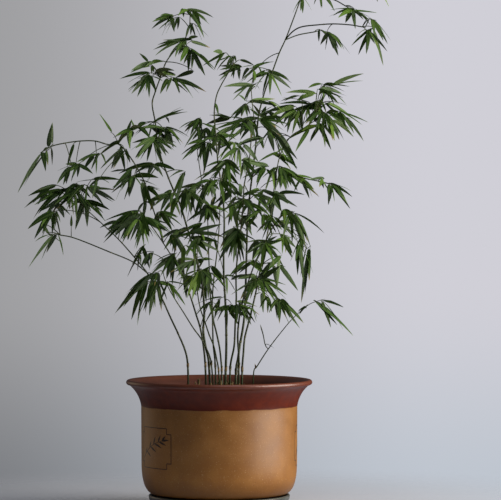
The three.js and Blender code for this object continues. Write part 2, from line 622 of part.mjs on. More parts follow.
function pot() {
  const seat = SAUCER_FLOOR + GAP;
  const floorTop = POT_FLOOR_UNDERSIDE + POT_FLOOR_THICKNESS;
  const inner = BODY_RADIUS - WALL;
  const lipAxis = RIM_RADIUS - LIP_RADIUS;
  const outline = new THREE.Path();
  outline.moveTo(DRAIN_RADIUS, POT_FLOOR_UNDERSIDE);
  outline.lineTo(FOOT_RADIUS - FOOT_WIDTH, POT_FLOOR_UNDERSIDE);
  outline.lineTo(FOOT_RADIUS - FOOT_WIDTH, seat);
  outline.lineTo(FOOT_RADIUS, seat);
  outline.lineTo(FOOT_RADIUS, BODY_FOOT_HEIGHT - BODY_FOOT_STEP);
  outline.lineTo(BODY_FOOT_RADIUS, BODY_FOOT_HEIGHT);
  outline.quadraticCurveTo(BODY_BEND_RADIUS, BODY_BEND_HEIGHT, BODY_RADIUS, BODY_WIDEST_HEIGHT);
  outline.lineTo(NECK_RADIUS, NECK_HEIGHT);
  outline.quadraticCurveTo(NECK_BEND_RADIUS, NECK_BEND_HEIGHT, RIM_RADIUS - LIP_REACH,
    RIM_HEIGHT - LIP_DEPTH);
  outline.absarc(lipAxis, RIM_HEIGHT, LIP_RADIUS, LIP_FOOT_ANGLE, Math.PI / 2, false);
  outline.lineTo(MOUTH_RADIUS, RIM_HEIGHT - MOUTH_DEPTH);
  outline.quadraticCurveTo(THROAT_BEND_RADIUS, THROAT_BEND_HEIGHT, inner, WALL_INSIDE_TOP);
  outline.lineTo(inner, WALL_INSIDE_FOOT);
  outline.quadraticCurveTo(inner, floorTop + POT_FLOOR_BEND_RISE, inner - POT_FLOOR_INSET, floorTop);
  outline.lineTo(DRAIN_RADIUS, floorTop);
  outline.lineTo(DRAIN_RADIUS, POT_FLOOR_UNDERSIDE);
  return turned(outline);
}

function soil(culms) {
  const floorTop = POT_FLOOR_UNDERSIDE + POT_FLOOR_THICKNESS;
  const inner = BODY_RADIUS - WALL - GAP;
  const outline = new THREE.Path();
  outline.moveTo(0, floorTop + GAP);
  outline.lineTo(inner - SOIL_FLOOR_INSET, floorTop + GAP);
  outline.lineTo(inner - SOIL_HAUNCH_INSET, floorTop + SOIL_HAUNCH_RISE);
  outline.lineTo(inner, WALL_INSIDE_FOOT);
  outline.lineTo(inner, WALL_INSIDE_TOP);
  outline.lineTo(inner + SOIL_EDGE_FLARE, SOIL_EDGE_HEIGHT);
  outline.lineTo(0, SOIL_CROWN_HEIGHT);
  let body = manifoldFrom(turned(outline));
  for (const { footing } of culms) {
    const bottom = footing.foot.clone().addScaledVector(footing.down, GAP);
    const top = footing.foot.clone().addScaledVector(footing.down, -2 * CULM_DEPTH_IN_SOIL);
    const radius = footing.radius + 2 * GAP;
    body = body.subtract(limb([bottom, top], radius, radius, HOLE_SIDES, false, false));
  }
  return geometryFrom(body);
}

// Everything on one culm in one solid: a pocket that the joining seals is filled, and the largest
// body is kept
function leafyCulm(culm) {
  const solids = culm.limbs.map((plan) => limb(...plan));
  solids.push(...culm.leaves.map(bladeSolid));
  const bodies = wasm.Manifold.union(solids).decompose();
  bodies.sort((a, b) => b.volume() - a.volume());
  return geometryFrom(bodies[0]);
}

const clump = growClump();
const group = new THREE.Group();
group.add(meshOf('saucer', saucer(), SLATE_GLAZE));
group.add(meshOf('pot', pot(), POT_GLAZE));
group.add(meshOf('soil', soil(clump), POTTING_MIX));
clump.forEach((culm, index) => {
  group.add(meshOf(culm.name, leafyCulm(culm), BAMBOO_GREENS[index % BAMBOO_GREENS.length]));
});

export default group;
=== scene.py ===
import functools
import itertools
import math

import bpy
import numpy as np
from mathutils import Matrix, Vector


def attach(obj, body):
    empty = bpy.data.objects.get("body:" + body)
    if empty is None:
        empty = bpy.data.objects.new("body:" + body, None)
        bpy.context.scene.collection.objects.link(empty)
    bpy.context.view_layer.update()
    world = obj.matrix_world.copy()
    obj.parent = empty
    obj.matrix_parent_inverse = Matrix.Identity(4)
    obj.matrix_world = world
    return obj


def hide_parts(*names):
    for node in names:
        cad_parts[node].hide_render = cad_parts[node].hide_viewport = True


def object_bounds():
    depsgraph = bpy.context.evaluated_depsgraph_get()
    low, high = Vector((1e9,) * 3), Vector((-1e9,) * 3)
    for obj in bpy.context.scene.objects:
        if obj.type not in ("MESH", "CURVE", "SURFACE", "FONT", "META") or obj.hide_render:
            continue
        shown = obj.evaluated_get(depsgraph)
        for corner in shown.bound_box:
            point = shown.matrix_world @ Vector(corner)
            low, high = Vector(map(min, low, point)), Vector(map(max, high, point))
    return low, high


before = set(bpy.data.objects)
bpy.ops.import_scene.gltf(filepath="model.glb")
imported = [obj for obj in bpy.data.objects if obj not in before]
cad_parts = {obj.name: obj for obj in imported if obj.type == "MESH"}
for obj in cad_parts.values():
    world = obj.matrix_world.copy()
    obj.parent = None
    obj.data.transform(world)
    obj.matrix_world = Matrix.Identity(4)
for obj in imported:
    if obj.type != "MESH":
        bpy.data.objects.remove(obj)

# A potted clumping bamboo: a glazed pot on a saucer, soil, and thirteen leafy culms.
# The sizes below are millimetres, +Z up, and the viewer looks along +Y. The origin is the centre of
# the saucer's underside. A mesh is turned into metres when it is made.

CAD_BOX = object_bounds()
METRES = 0.001
UP = np.array([0.0, 0.0, 1.0])
# The length of a wave texture's bands at scale 1, in metres
WAVE_LENGTH = math.pi / 10

# Pot and saucer, as in the solids. A bend is the place that a curve's two ends aim at.
RIM_RADIUS = 149
RIM_HEIGHT = 203
LIP_RADIUS = 4
LIP_REACH = 6
LIP_DEPTH = 5
LIP_START_DEGREES = -60
LIP_BEND_INSET = 9
MOUTH_RADIUS = 134
MOUTH_DEPTH = 2
THROAT_BEND = [119, 190]
NECK_RADIUS = 125
NECK_HEIGHT = 165
NECK_BEND = [128, 185]
BODY_RADIUS = 124.5
BODY_WIDEST_HEIGHT = 72
BODY_BEND = [124, 34]
SHOULDER = np.array([108, 25])
STEP = np.array([95, 21])
# Where the curves over the step and the shoulder start and end on the way up, from the corner
STEP_START = [0, -2]
STEP_END = [2, 0.6]
SHOULDER_START = [-2, -0.8]
SHOULDER_END = [2.1, 1.2]
FOOT_RADIUS = 95
FOOT_WIDTH = 10
FOOT_ROUNDING = 1.5
FLOOR_ROUNDING = 1
WALL = 8
WALL_INSIDE_TOP = 160
WALL_INSIDE_FOOT = 60
POT_FLOOR_UNDERSIDE = 16
POT_FLOOR_THICKNESS = 10
POT_FLOOR_BEND_RISE = 2
POT_FLOOR_INSET = 20
DRAIN_RADIUS = 12
SAUCER_RADIUS = 113
SAUCER_HEIGHT = 23.5
SAUCER_WALL = 4.5
SAUCER_FLOOR = 4
SAUCER_FLOOR_RADIUS = 97
SAUCER_INNER_BEND = [104, 5]
SAUCER_WALL_BEND = [111.8, 12]
SAUCER_FLARE = [107, 5.5]
SAUCER_FOOT_BEND = [104.5, 0.2]
SAUCER_FLAT_RADIUS = 99
GAP = 0.3
ROUND_SIDES = 144
BEND_STEPS = 14

# Soil
SOIL_EDGE_HEIGHT = 177
SOIL_EDGE_FLARE = 1.5
SOIL_EDGE_FADE = 12
SOIL_CROWN_HEIGHT = 181
SOIL_FLOOR_INSET = 22
SOIL_HAUNCH_INSET = 5
SOIL_HAUNCH_RISE = 11
SOIL_RINGS = 56
SOIL_WAVE_LENGTHS = np.geomspace(48, 9, 22)
SOIL_WAVE_HEIGHT = 0.55
SOIL_WAVE_MIDDLE = 30
SOIL_WAVE_SEED = 11
CULM_DEPTH_IN_SOIL = 24

# A traditional panel on the pot, drawn on its unrolled face in millimetres from the panel's centre:
# a thin frame with stepped corners, and a brushed branch of bamboo across it. Each leaf of the branch
# is its place along it, its turn from it in degrees, and its length.
PANEL_TURNS_DEGREES = [-56, 94, 199]
PANEL_HEIGHT = 103
PANEL_HALF_WIDTH = 42
PANEL_HALF_HEIGHT = 32
PANEL_CORNER = 9
LINE_WIDTH = 1.3
LINE_POINTS = 12
STROKE_PROUD = np.array([0.042, 0.14, 0.042])
STROKE_SUNK = 0.5
BRANCH_START = np.array([-34.0, -17.0])
BRANCH_END = np.array([22.0, 12.0])
BRANCH_ARCH = 5
BRANCH_WIDTH = 1.7
BRANCH_TIP_WIDTH = 0.7
BRANCH_POINTS = 16
BRANCH_LEAF_WIDTH = 3.3
BRANCH_LEAF_FALL = 0.12
BRANCH_LEAF_SWELLING = [0.04, 0.93, 0.8]
BRANCH_LEAF_POINTS = 9
BRANCH_LEAVES = [[0.16, 44, 11], [0.24, -52, 14], [0.4, 40, 14], [0.46, -46, 17], [0.62, 42, 15],
                 [0.68, -40, 18], [0.84, 36, 14], [0.88, -38, 17], [1.0, 20, 13], [1.0, -14, 16]]

# What lies on the soil: chips of bark, fallen leaves, and stubs of old culms. A pair is the least and
# the most of a draw.
CHIP_SEED = 5
CHIP_COUNT = 560
CHIP_INSET = 6
CHIP_SIZE = 1.0
CHIP_SIZE_GAIN = 3.2
CHIP_PROPORTIONS = [[0.9, 1.7], [0.6, 1.1], [0.35, 0.7]]
CHIP_DENTS = [0.75, 1.2]
CHIP_TILTS = np.array([0.5, 0.5, np.pi])
CHIP_LIFT = 0.15
LITTER_SEED = 9
LITTER_COUNT = 26
LITTER_INSET = 26
LITTER_EDGE_INSET = 4
LITTER_ROWS = 9
LITTER_COLUMNS = 5
LITTER_SPREAD = [0.04, 1]
LITTER_OUTLINE = [0.03, 0.94, 0.7]
LITTER_LENGTH = [18, 42]
LITTER_WIDTH = [3.5, 6.5]
LITTER_CURL = [0.3, 1.2]
LITTER_ARCH = 3.0
LITTER_LIFT = 0.8
LITTER_THICKNESS = 0.25
LITTER_PALENESS = [0.1, 1]
STUB_SEED = 21
STUB_COUNT = 14
STUB_MIDDLE = [8, -4]
STUB_SPREAD = [24, 22]
STUB_LEAN = 0.16
STUB_DEPTH = 6
STUB_LENGTH = [16, 34]
STUB_RADIUS = [0.9, 1.9]
STUB_TAPER = np.linspace(1.1, 0.85, 7)
STUB_SIDES = 8
# Dry sheaths: their length (a stub's as a share of the stub), their flare at the top, and half the
# angle in radians that they wrap
FOOT_SHEATH = {"length": [12, 26], "flare": [1.2, 4.5], "wrap": [1.4, 2.3]}
NODE_SHEATH = {"length": [5, 9], "flare": [0.1, 0.4], "wrap": [1.8, 2.7]}
STUB_SHEATH = {"length": [0.7, 1.25], "flare": [0.8, 3.5], "wrap": [1.2, 2.4]}
FOOT_SHEATHS = 3
FOOT_SHEATH_DEPTH = 3
FOOT_SHEATH_WIDTH = [1.0, 1.25]
SHEATH_COLUMNS = 11
SHEATH_ROWS = 8
SHEATH_CUT = 0.6
SHEATH_CUT_POWER = 1.5
SHEATH_EDGE_FLARE = 0.4
SHEATH_GAP = 0.25
SHEATH_THICKNESS = 0.22

# The eye of the photograph, and what one of its pixels spans at the pot's axis
EYE = np.array([50.0, -4500.0, 463.0])
EYE_PITCH_DEGREES = -0.62
PICTURE_WIDTH = 501
MM_PER_PIXEL = 1.6
AXIS_COLUMN = 219
RIM_ROW = 382
SENSOR_WIDTH = 36.0
# The photograph doesn't show the clump's depth: the depths below are spread by this much
DEPTH_SPREAD = 1.3

# Lamps: name, place and aim in metres, width and height in metres, watts, and colour
LAMPS = [
    ["window_light", (2.4, -0.5, 0.9), (0, 0, 0.45), 2.3, 2.2, 92, "#fff6ec"],
    ["top_light", (0.7, -1.2, 3.0), (0, 0, 0.4), 2.0, 2.0, 20, "#f2f5ff"],
    ["left_light", (-2.1, 1.5, 0.6), (0, 0, 0.4), 1.8, 1.6, 5, "#ffe2bd"],
]
AMBIENT = 0.1
FLOOR_REACH = 3000
FLOOR_SIDES = 64
VIEW_REACH = 50

# Culms and twigs
CULM_TAPER = 0.62
CULM_TIP_LENGTH = 6
CULM_TIP_RADIUS = 0.25
CULM_SIDES = 10
LIMB_SIDES = 8
LIMB_SEEDS = 100
CULM_STEP = 5.0
CURVE_STEPS = 24
NODE_SPACING = 62.0
NODE_SPACING_SHARES = [0.82, 1.18]
NODE_DRAWS = 40
FIRST_NODE_SHARE = 0.75
NODE_CLEAR_OF_TIP = 18
NODE_SWELLING = 0.3
NODE_RING_WIDTH = 0.7
NODE_RING_PLACES = np.array([-3.2, -1.8, -1.0, -0.4, 0.0, 0.4, 1.0, 1.8])
BLOOM_BELOW_NODE = 4
BLOOM_WIDTH = 3.5
TWIG_SIDES = 6
TWIG_STEPS = 8
TWIG_ROOM_STEPS = 2
TWIG_DIAMETER = 2.2
TWIG_TIP_DIAMETER = 1.9
TWIG_SHOWN_DIAMETER = 1.5
TWIG_SHOWN_TIP_DIAMETER = 0.9
TWIG_END_RADIUS = 0.2
TUBE_END_RISE = 0.3
TWIG_ARCH = 0.18
TWIG_LEVEL = 0.4
SHOOT_TIP_LENGTH = 4

# Leaves, as in the solids: their turns in degrees, lengths as shares of the longest, widths, and fall
LEAF_SPACING = 4
LEAF_TURN_AT_FOOT = 95
LEAF_TURN_FALL = 80
LEAF_HEADING_SPREAD = 20
LEAF_PITCH_SPREAD = 50
LEAF_ROLL_SPREAD = 90
LEAF_LENGTH_AT_FOOT = 0.78
LEAF_LENGTH_GAIN = 0.22
LEAF_LENGTH_SPREAD = 0.12
LEAF_LEAST_WIDTH = 3.2
LEAF_WIDTH_PER_LENGTH = 0.06
LEAF_BREADTH = 0.85
LEAF_BREADTH_SPREAD = 0.3
LEAF_DROOP = 0.08
LEAF_DROOP_SPREAD = 0.3
# The solids hold a share of a spray's leaves, and the rest, longer and flatter, grow between them here
SOLID_SHARE = 0.68
FULL_SHARE = 1.25
LATER_DRAWS = 500
LATER_LENGTH = 1.08
LATER_PITCH = 0.55
# A leaf's width at a place t from 0 to 1, as a share of its full width: scale t^rise (1-t)^fall. The
# first line is the solids' leaf, and the second the blade past its stalk.
LEAF_OUTLINE = [1.86, 0.5, 0.75]
BLADE_OUTLINE = [2.23, 0.4, 0.9]
BALL_PLACES = np.array([0.15, 0.28, 0.41, 0.54, 0.67, 0.8, 0.93, 1.0])
BALL_MARGIN = 0.9
BALL_REACH = 16
STEM_BALL_STEP = 3
MOST_BALLS = 40000
BOX_SLACK = 1
DRAW_RANGE = 4294967296
DRAW_FACTOR = 1664525
DRAW_STEP = 1013904223
SEED_FACTOR = 7919
SKIPPED_DRAWS = 3
# A blade's rings along it, the places of a ring's points across it, and its lifts and wave as shares
# of its half width
LEAF_PLACES = np.array([0.0, 0.045, 0.085, 0.17, 0.32, 0.52, 0.74, 0.92])
LEAF_SIDES = np.array([1, 0, -1, -0.5, 0, 0.5])
MIDRIB_UNDERSIDE = np.array([0, 1, 0, 0, 0, 0])
PETIOLE_SHARE = 0.045
PETIOLE_HALF_WIDTH = 0.35
PETIOLE_START = 0.4
LEAF_THICKNESS = 0.3
LEAF_LEAST_THICKNESS = 0.4
LEAF_LIFT = 0.13
LEAF_CROWN = 0.12
LEAF_TWIST = 0.35
LEAF_WAVE = [0.03, 0.12]
LEAF_WAVE_TURNS = [1.0, 2.2]
# Shares of a leaf's tint: its spray's, its own, and painted window light, a yellower green towards the
# window on the right, which is full from a distance on. Some leaves dry from the tip.
TINT_SEED = 77
TINT_DRAWS = 800
SPRAY_TINT = 0.55
OWN_TINT = 0.45
PAINTED_LIGHT_REACH = 150
PAINTED_LIGHT_TINT = 0.12
DRY_START = [0.72, 1.9]
DRY_FADE = 5

# Fans of leaves between those sprays. A leaf that shows shorter than its drawn length turns towards
# the viewer or away by as much.
FAN_JOINT_REACH = 12
FAN_DEPTH = 32
FAN_LENGTH = [42, 60]
FAN_DROOP = 0.06
FAN_DROOP_SPREAD = 0.2
FAN_BREADTH = [0.85, 1.35]
FAN_ROLL = 80
FAN_ROLL_DRAWS = 2
FAN_SHOOT_LEAVES = 4
SMALLER_SHARE = 0.2
SMALLER_TURN = 34
SMALLER_LENGTH = [0.5, 0.85]
FAN_TURNS = [1, -1, 0.6, -0.6, 1.3, -1.3, 0.2, -0.2]
FAN_SEED = 3

# Turns a leaf may take, in degrees of heading and pitch, until it hangs clear of the other culms
LEAF_TURNS = [[0, 0], [14, 0], [-14, 0], [0, -16], [0, 16], [28, -8], [-28, -8], [28, 12],
              [-28, 12], [0, -32], [42, 0], [-42, 0], [58, -12], [-58, -12], [58, 14], [-58, 14],
              [84, -6], [-84, -6], [120, -10], [-120, -10], [180, -10]]
# Shifts in depth that a spray's twig may take for the same reason
TWIG_SHIFTS = [0, 8, -8, 16, -16, 24, -24, 34, -34]

# Culms, twigs and leaves are written as they show in the photograph: column, row, and depth in
# millimetres behind the pot's axis. A culm is [name, diameter, route, sprays, branches]. A spray is
# [joint of the route, column, row, depth, heading, pitch, leaves, longest leaf in millimetres]. A
# branch is [diameter, joint, route, sprays].
CULMS = [
    ["culm_far_left", 3.6,
     [[188, 397, 0], [187.5, 366, 0], [185, 351, -2], [178, 334, -5], [170, 317, -8], [160, 295, -12],
      [147, 273, -16], [134, 257, -18], [118, 239, -18], [100, 222, -14], [88, 211, -10], [80, 203, -8]],
     [[10, 62, 189, -10, 185, -28, 6, 64], [11, 75, 193, -40, 260, -45, 6, 50],
      [10, 88, 201, 20, 345, -20, 5, 42], [9, 52, 212, -40, 205, -40, 5, 42],
      [7, 139, 254, 5, 240, -60, 3, 26], [5, 148, 282, -45, 195, -45, 5, 56],
      [5, 157, 281, -62, 275, -60, 5, 48]],
     [[2.0, 6, [[132, 261.5, -25], [107, 251, -38], [85, 242, -46], [71, 237, -52], [60, 235, -55]],
      [[4, 71, 227, -48, 90, 75, 1, 20], [5, 53, 235, -58, 205, -35, 4, 46]]]]],
    ["culm_lean_left", 3.0,
     [[213.5, 397, -20], [211.5, 368, -24], [209, 355, -27], [201, 339, -32], [193, 328, -40],
      [183, 312, -50], [174, 298, -60], [167, 285, -72], [163, 272, -82], [166, 262, -88]],
     [[7, 169, 283, -84, 300, -45, 5, 44], [9, 172, 257, -98, 280, -50, 4, 40],
      [8, 153, 273, -100, 190, -30, 4, 46], [9, 148, 254, -96, 200, -50, 3, 26]],
     []],
    ["culm_left", 3.8,
     [[206, 397, -12], [205, 365, -12], [203, 345, -13], [200, 328, -14], [196, 315, -15], [191, 299, -18],
      [186, 285, -20], [180, 270, -24], [172, 257, -28], [163, 243, -34], [152, 227, -42], [143, 217, -48]],
     [[11, 128, 213, -55, 185, -25, 5, 46], [11, 138, 219, -85, 265, -45, 6, 48],
      [10, 151, 220, -62, 335, -25, 4, 42], [9, 161, 213, -20, 335, -30, 4, 38],
      [3, 207, 303, -46, 230, -40, 4, 30]],
     [[2.2, 9, [[157, 222, -30], [151, 203, -26], [145, 184, -22], [137, 168, -18], [127, 153, -14],
      [118, 144, -12], [108, 144.5, -14], [95, 141, -18], [80, 141, -22], [65, 143, -26], [52, 146, -30],
      [43, 151, -34]], [[3, 148, 187, -50, 350, -15, 3, 24], [4, 130, 177, -44, 215, -30, 5, 42],
      [5, 125, 150, -34, 250, -60, 3, 42], [6, 128, 132, 10, 190, -25, 4, 26],
      [6, 96, 154, -40, 195, -25, 4, 36], [6, 74, 165, -50, 190, -35, 4, 36],
      [6, 112, 133, 5, 150, 55, 1, 40], [5, 97, 180, -60, 230, -30, 3, 36],
      [9, 74, 143, -24, 235, -62, 1, 40], [11, 52, 144, -30, 90, 80, 1, 38],
      [12, 46, 150, -34, 290, -65, 1, 28], [12, 42, 152, -34, 195, -55, 2, 78]]]]],
    ["culm_left_top", 4.2,
     [[210, 397, 14], [209, 370, 15], [208, 358, 16], [205, 345, 18], [203, 330, 20], [204, 312, 24],
      [202, 285, 30], [196, 258, 36], [187, 228, 42], [180, 205, 44], [172, 187, 44], [166, 172, 44],
      [161, 158, 44], [157, 140, 42], [155, 122, 40], [152, 104, 38], [155, 92, 36], [160, 78, 34],
      [166, 62, 32], [175, 50, 30], [184, 40, 28], [189, 28, 26], [190, 15, 24]],
     [[22, 188, 10, 24, 350, -15, 5, 40], [21, 174, 18, 20, 185, -25, 5, 36],
      [21, 194, 24, 8, 320, -35, 4, 32], [20, 180, 42, 10, 195, -30, 5, 42],
      [19, 195, 53, 34, 325, -45, 5, 44], [17, 176, 78, 20, 340, -35, 5, 44],
      [16, 146, 78, 24, 215, -35, 6, 38], [17, 161, 71, 60, 10, -5, 2, 26],
      [17, 150, 66, 50, 175, -20, 3, 34], [17, 148, 62, 55, 130, 40, 1, 28],
      [14, 148, 127, 60, 185, -25, 4, 30], [13, 152, 140, 20, 260, -50, 5, 42],
      [14, 167, 129, 50, 335, -30, 5, 36], [14, 165, 117, 30, 0, 22, 2, 40],
      [12, 156, 166, 30, 215, -25, 4, 40], [9, 186, 192, 20, 280, -65, 6, 46],
      [9, 172, 193, 10, 210, -50, 3, 26]],
     []],
    ["culm_front", 3.0,
     [[220, 397, -20], [218, 368, -24], [216.5, 360, -26], [213.5, 346, -32], [209, 335, -40],
      [205, 323, -52], [200, 308, -70], [197, 290, -92], [197, 272, -112], [197, 255, -124],
      [197, 243, -130]],
     [[8, 199, 271, -140, 235, -40, 5, 42], [8, 212, 273, -122, 335, -30, 4, 34],
      [10, 195, 239, -150, 200, -30, 5, 36], [10, 204, 232, -128, 340, -20, 4, 34],
      [9, 190, 261, -160, 190, -35, 4, 34], [9, 183, 247, -120, 240, -55, 4, 34]],
     []],
    ["culm_back_left", 3.2,
     [[215.5, 397, 20], [215, 365, 22], [213, 345, 24], [212.5, 330, 28], [212, 315, 33], [210, 295, 44],
      [209, 270, 60], [208, 240, 78], [207, 215, 92], [203, 190, 102], [199, 165, 110], [197, 150, 112],
      [198, 135, 112]],
     [[8, 208, 208, 80, 290, -45, 6, 36], [9, 197, 185, 128, 190, -25, 5, 42],
      [11, 205, 143, 90, 225, -40, 5, 42], [12, 195, 120, 108, 190, -35, 5, 36],
      [12, 204, 124, 128, 350, -30, 3, 30]],
     []],
    ["culm_back", 3.4,
     [[222, 397, 8], [221.5, 372, 12], [220.5, 358, 16], [219, 346, 22], [216, 332, 32], [213, 319, 44],
      [212, 300, 62], [214, 275, 86], [217, 250, 108], [219, 225, 128], [220, 200, 144], [222, 180, 154],
      [227, 165, 160], [232, 150, 162]],
     [[11, 219, 169, 140, 205, -35, 5, 44], [13, 232, 143, 150, 215, -35, 5, 42],
      [12, 232, 182, 180, 320, -50, 4, 40], [8, 226, 276, 130, 300, -30, 4, 36],
      [9, 210, 240, 150, 200, -40, 4, 34], [10, 236, 212, 170, 340, -40, 4, 36]],
     []],
    ["culm_middle", 4.4,
     [[224.5, 397, -8], [225.5, 368, -8], [226, 350, -8], [226, 330, -7], [225, 300, -5], [223.5, 275, -2],
      [223.5, 245, 2], [224, 220, 6], [222, 190, 10], [218, 165, 12], [216, 140, 14], [214, 115, 15],
      [216, 97, 16], [221, 85, 17], [228, 73, 18], [233, 65, 18]],
     [[15, 229, 57, 14, 190, -35, 5, 30], [15, 232, 69, 30, 215, -30, 4, 28],
      [15, 239, 60, 22, 0, -5, 1, 24], [11, 215, 103, 10, 290, -40, 1, 24],
      [10, 213, 137, 0, 200, -30, 5, 30], [6, 238, 234, -40, 275, -50, 5, 38],
      [4, 229, 305, -36, 245, -30, 5, 32]],
     []],
    ["culm_middle_right", 3.6,
     [[229, 397, -24], [230, 368, -26], [231, 360, -27], [234, 345, -30], [235, 322, -34], [236, 300, -40],
      [236, 270, -50], [240, 235, -62], [243, 205, -72], [244, 185, -78], [249, 160, -84], [251, 140, -88],
      [254, 124, -90], [252, 103, -92], [251, 90, -92]],
     [[14, 252, 71, -84, 200, -30, 3, 30], [14, 249, 85, -104, 195, -20, 4, 38],
      [13, 243, 106, -110, 225, -50, 4, 26], [12, 240, 122, -110, 230, -40, 5, 44],
      [13, 268, 101, -70, 340, -20, 2, 30], [8, 242, 200, -104, 240, -45, 5, 46],
      [9, 253, 195, -90, 335, -20, 4, 46], [5, 239, 305, -70, 320, -35, 4, 34],
      [10, 238, 148, -120, 260, -60, 4, 44], [12, 260, 116, -84, 30, 25, 3, 34]],
     []],
    ["culm_tall", 4.2,
     [[235, 397, 16], [236, 368, 18], [237.5, 360, 19], [239.5, 346, 22], [243.5, 322, 26], [245, 300, 30],
      [246, 265, 36], [247, 230, 42], [249, 200, 46], [252, 175, 48], [255, 150, 50], [257, 128, 50],
      [259, 112, 50], [265, 90, 48], [272, 72, 46], [279, 53, 44], [285, 40, 42], [292, 22, 40],
      [300, 0, 38], [306, -18, 36], [311, -34, 34]],
     [[14, 270, 73, 20, 290, -40, 5, 46], [15, 256, 67, 60, 190, -20, 3, 32],
      [12, 271, 112, 64, 345, -20, 4, 34], [20, 309, -39, 30, 200, -30, 5, 40],
      [20, 317, -35, 36, 340, -20, 4, 40], [19, 322, -6, 20, 320, -50, 4, 34],
      [19, 302, -2, 50, 250, -50, 3, 30]],
     [[2.2, 16, [[292, 32, 36], [301, 27, 30], [317, 25, 24], [333, 24, 18], [350, 25, 12], [362, 27, 8]],
      [[6, 369, 31, 0, 320, -50, 5, 46], [6, 374, 20, 10, 345, -30, 4, 46]]], [1.8, 16, [[298, 35, 52],
      [314, 32, 60]], [[2, 321, 30, 64, 350, -40, 3, 30], [2, 332, 34, 66, 330, -45, 4, 38]]],
      [1.8, 18, [[318, -4, 30], [334, 0, 24], [345, 6, 20]], [[3, 347, 9, 14, 200, -25, 4, 28],
      [3, 356, 12, 18, 340, -25, 4, 36]]], [1.8, 19, [[335, -28, 20], [362, -22, 10], [374, -13, 6]],
      [[3, 378, -12, 4, 330, -50, 4, 36]]]]],
    ["culm_right", 3.8,
     [[238, 397, -10], [238.5, 368, -12], [238.5, 355, -14], [237.5, 335, -18], [240, 312, -24],
      [247, 285, -34], [256, 260, -44], [264, 244, -50], [274, 225, -56], [284, 214, -60], [291, 212, -62]],
     [[7, 265, 243, -80, 270, -40, 5, 46], [8, 258, 212, -90, 200, -25, 4, 40],
      [8, 274, 217, -40, 320, -40, 4, 44], [10, 294, 213, -66, 330, -60, 4, 58],
      [9, 300, 245, -84, 300, -65, 4, 62], [5, 253, 281, -60, 220, -45, 5, 42],
      [5, 264, 281, -40, 335, -35, 5, 46], [5, 268, 297, -50, 270, -60, 3, 26],
      [4, 252, 307, -60, 300, -60, 3, 24], [5, 281, 301, -64, 320, -55, 5, 44]],
     []],
    ["culm_right_tall", 3.6,
     [[241.5, 397, 6], [242, 368, 7], [243, 355, 8], [244.5, 338, 10], [249, 320, 14], [255, 295, 20],
      [261, 265, 28], [267, 235, 36], [272, 205, 44], [275, 180, 50], [280, 155, 56], [290, 137, 60],
      [302, 129, 62], [314, 121, 62]],
     [[13, 328, 91, 50, 0, -20, 5, 36], [13, 316, 101, 84, 190, -25, 5, 38],
      [13, 325, 113, 30, 300, -50, 6, 48], [13, 341, 112, 62, 345, -40, 5, 46],
      [12, 303, 109, 84, 195, -30, 5, 38], [13, 322, 124, 70, 270, -60, 4, 42],
      [12, 297, 96, 60, 180, -5, 4, 28], [13, 327, 87, 76, 5, 20, 1, 60],
      [10, 268, 127, 80, 320, -50, 1, 90], [10, 273, 129, 90, 280, -70, 4, 44],
      [9, 281, 168, 30, 310, -45, 4, 42], [9, 262, 170, 70, 200, -30, 4, 36]],
     [[1.8, 9, [[290, 174, 44], [303, 178, 38], [318, 181, 34], [330, 184, 30]],
      [[2, 304, 181, 30, 330, -40, 4, 34], [4, 333, 185, 26, 340, -35, 5, 38]]]]],
    ["culm_low_right", 2.4,
     [[252.5, 397, -4], [253.5, 372, -6], [257, 366, -7], [268, 349, -12], [281, 332, -18], [293, 318, -24],
      [308, 305, -28], [316, 301.5, -30], [321, 300, -30]],
     [[8, 322, 300, -30, 345, -45, 2, 60], [8, 321, 301, -34, 325, -60, 1, 46],
      [6, 306, 306, -34, 200, -20, 2, 16], [7, 316, 302, -26, 340, -40, 1, 14]],
     [[1.4, 3, [[265, 345, -14], [263, 335, -16], [261, 328, -18]], [[1, 266, 344, -14, 350, -15, 1, 14]]]]],
]

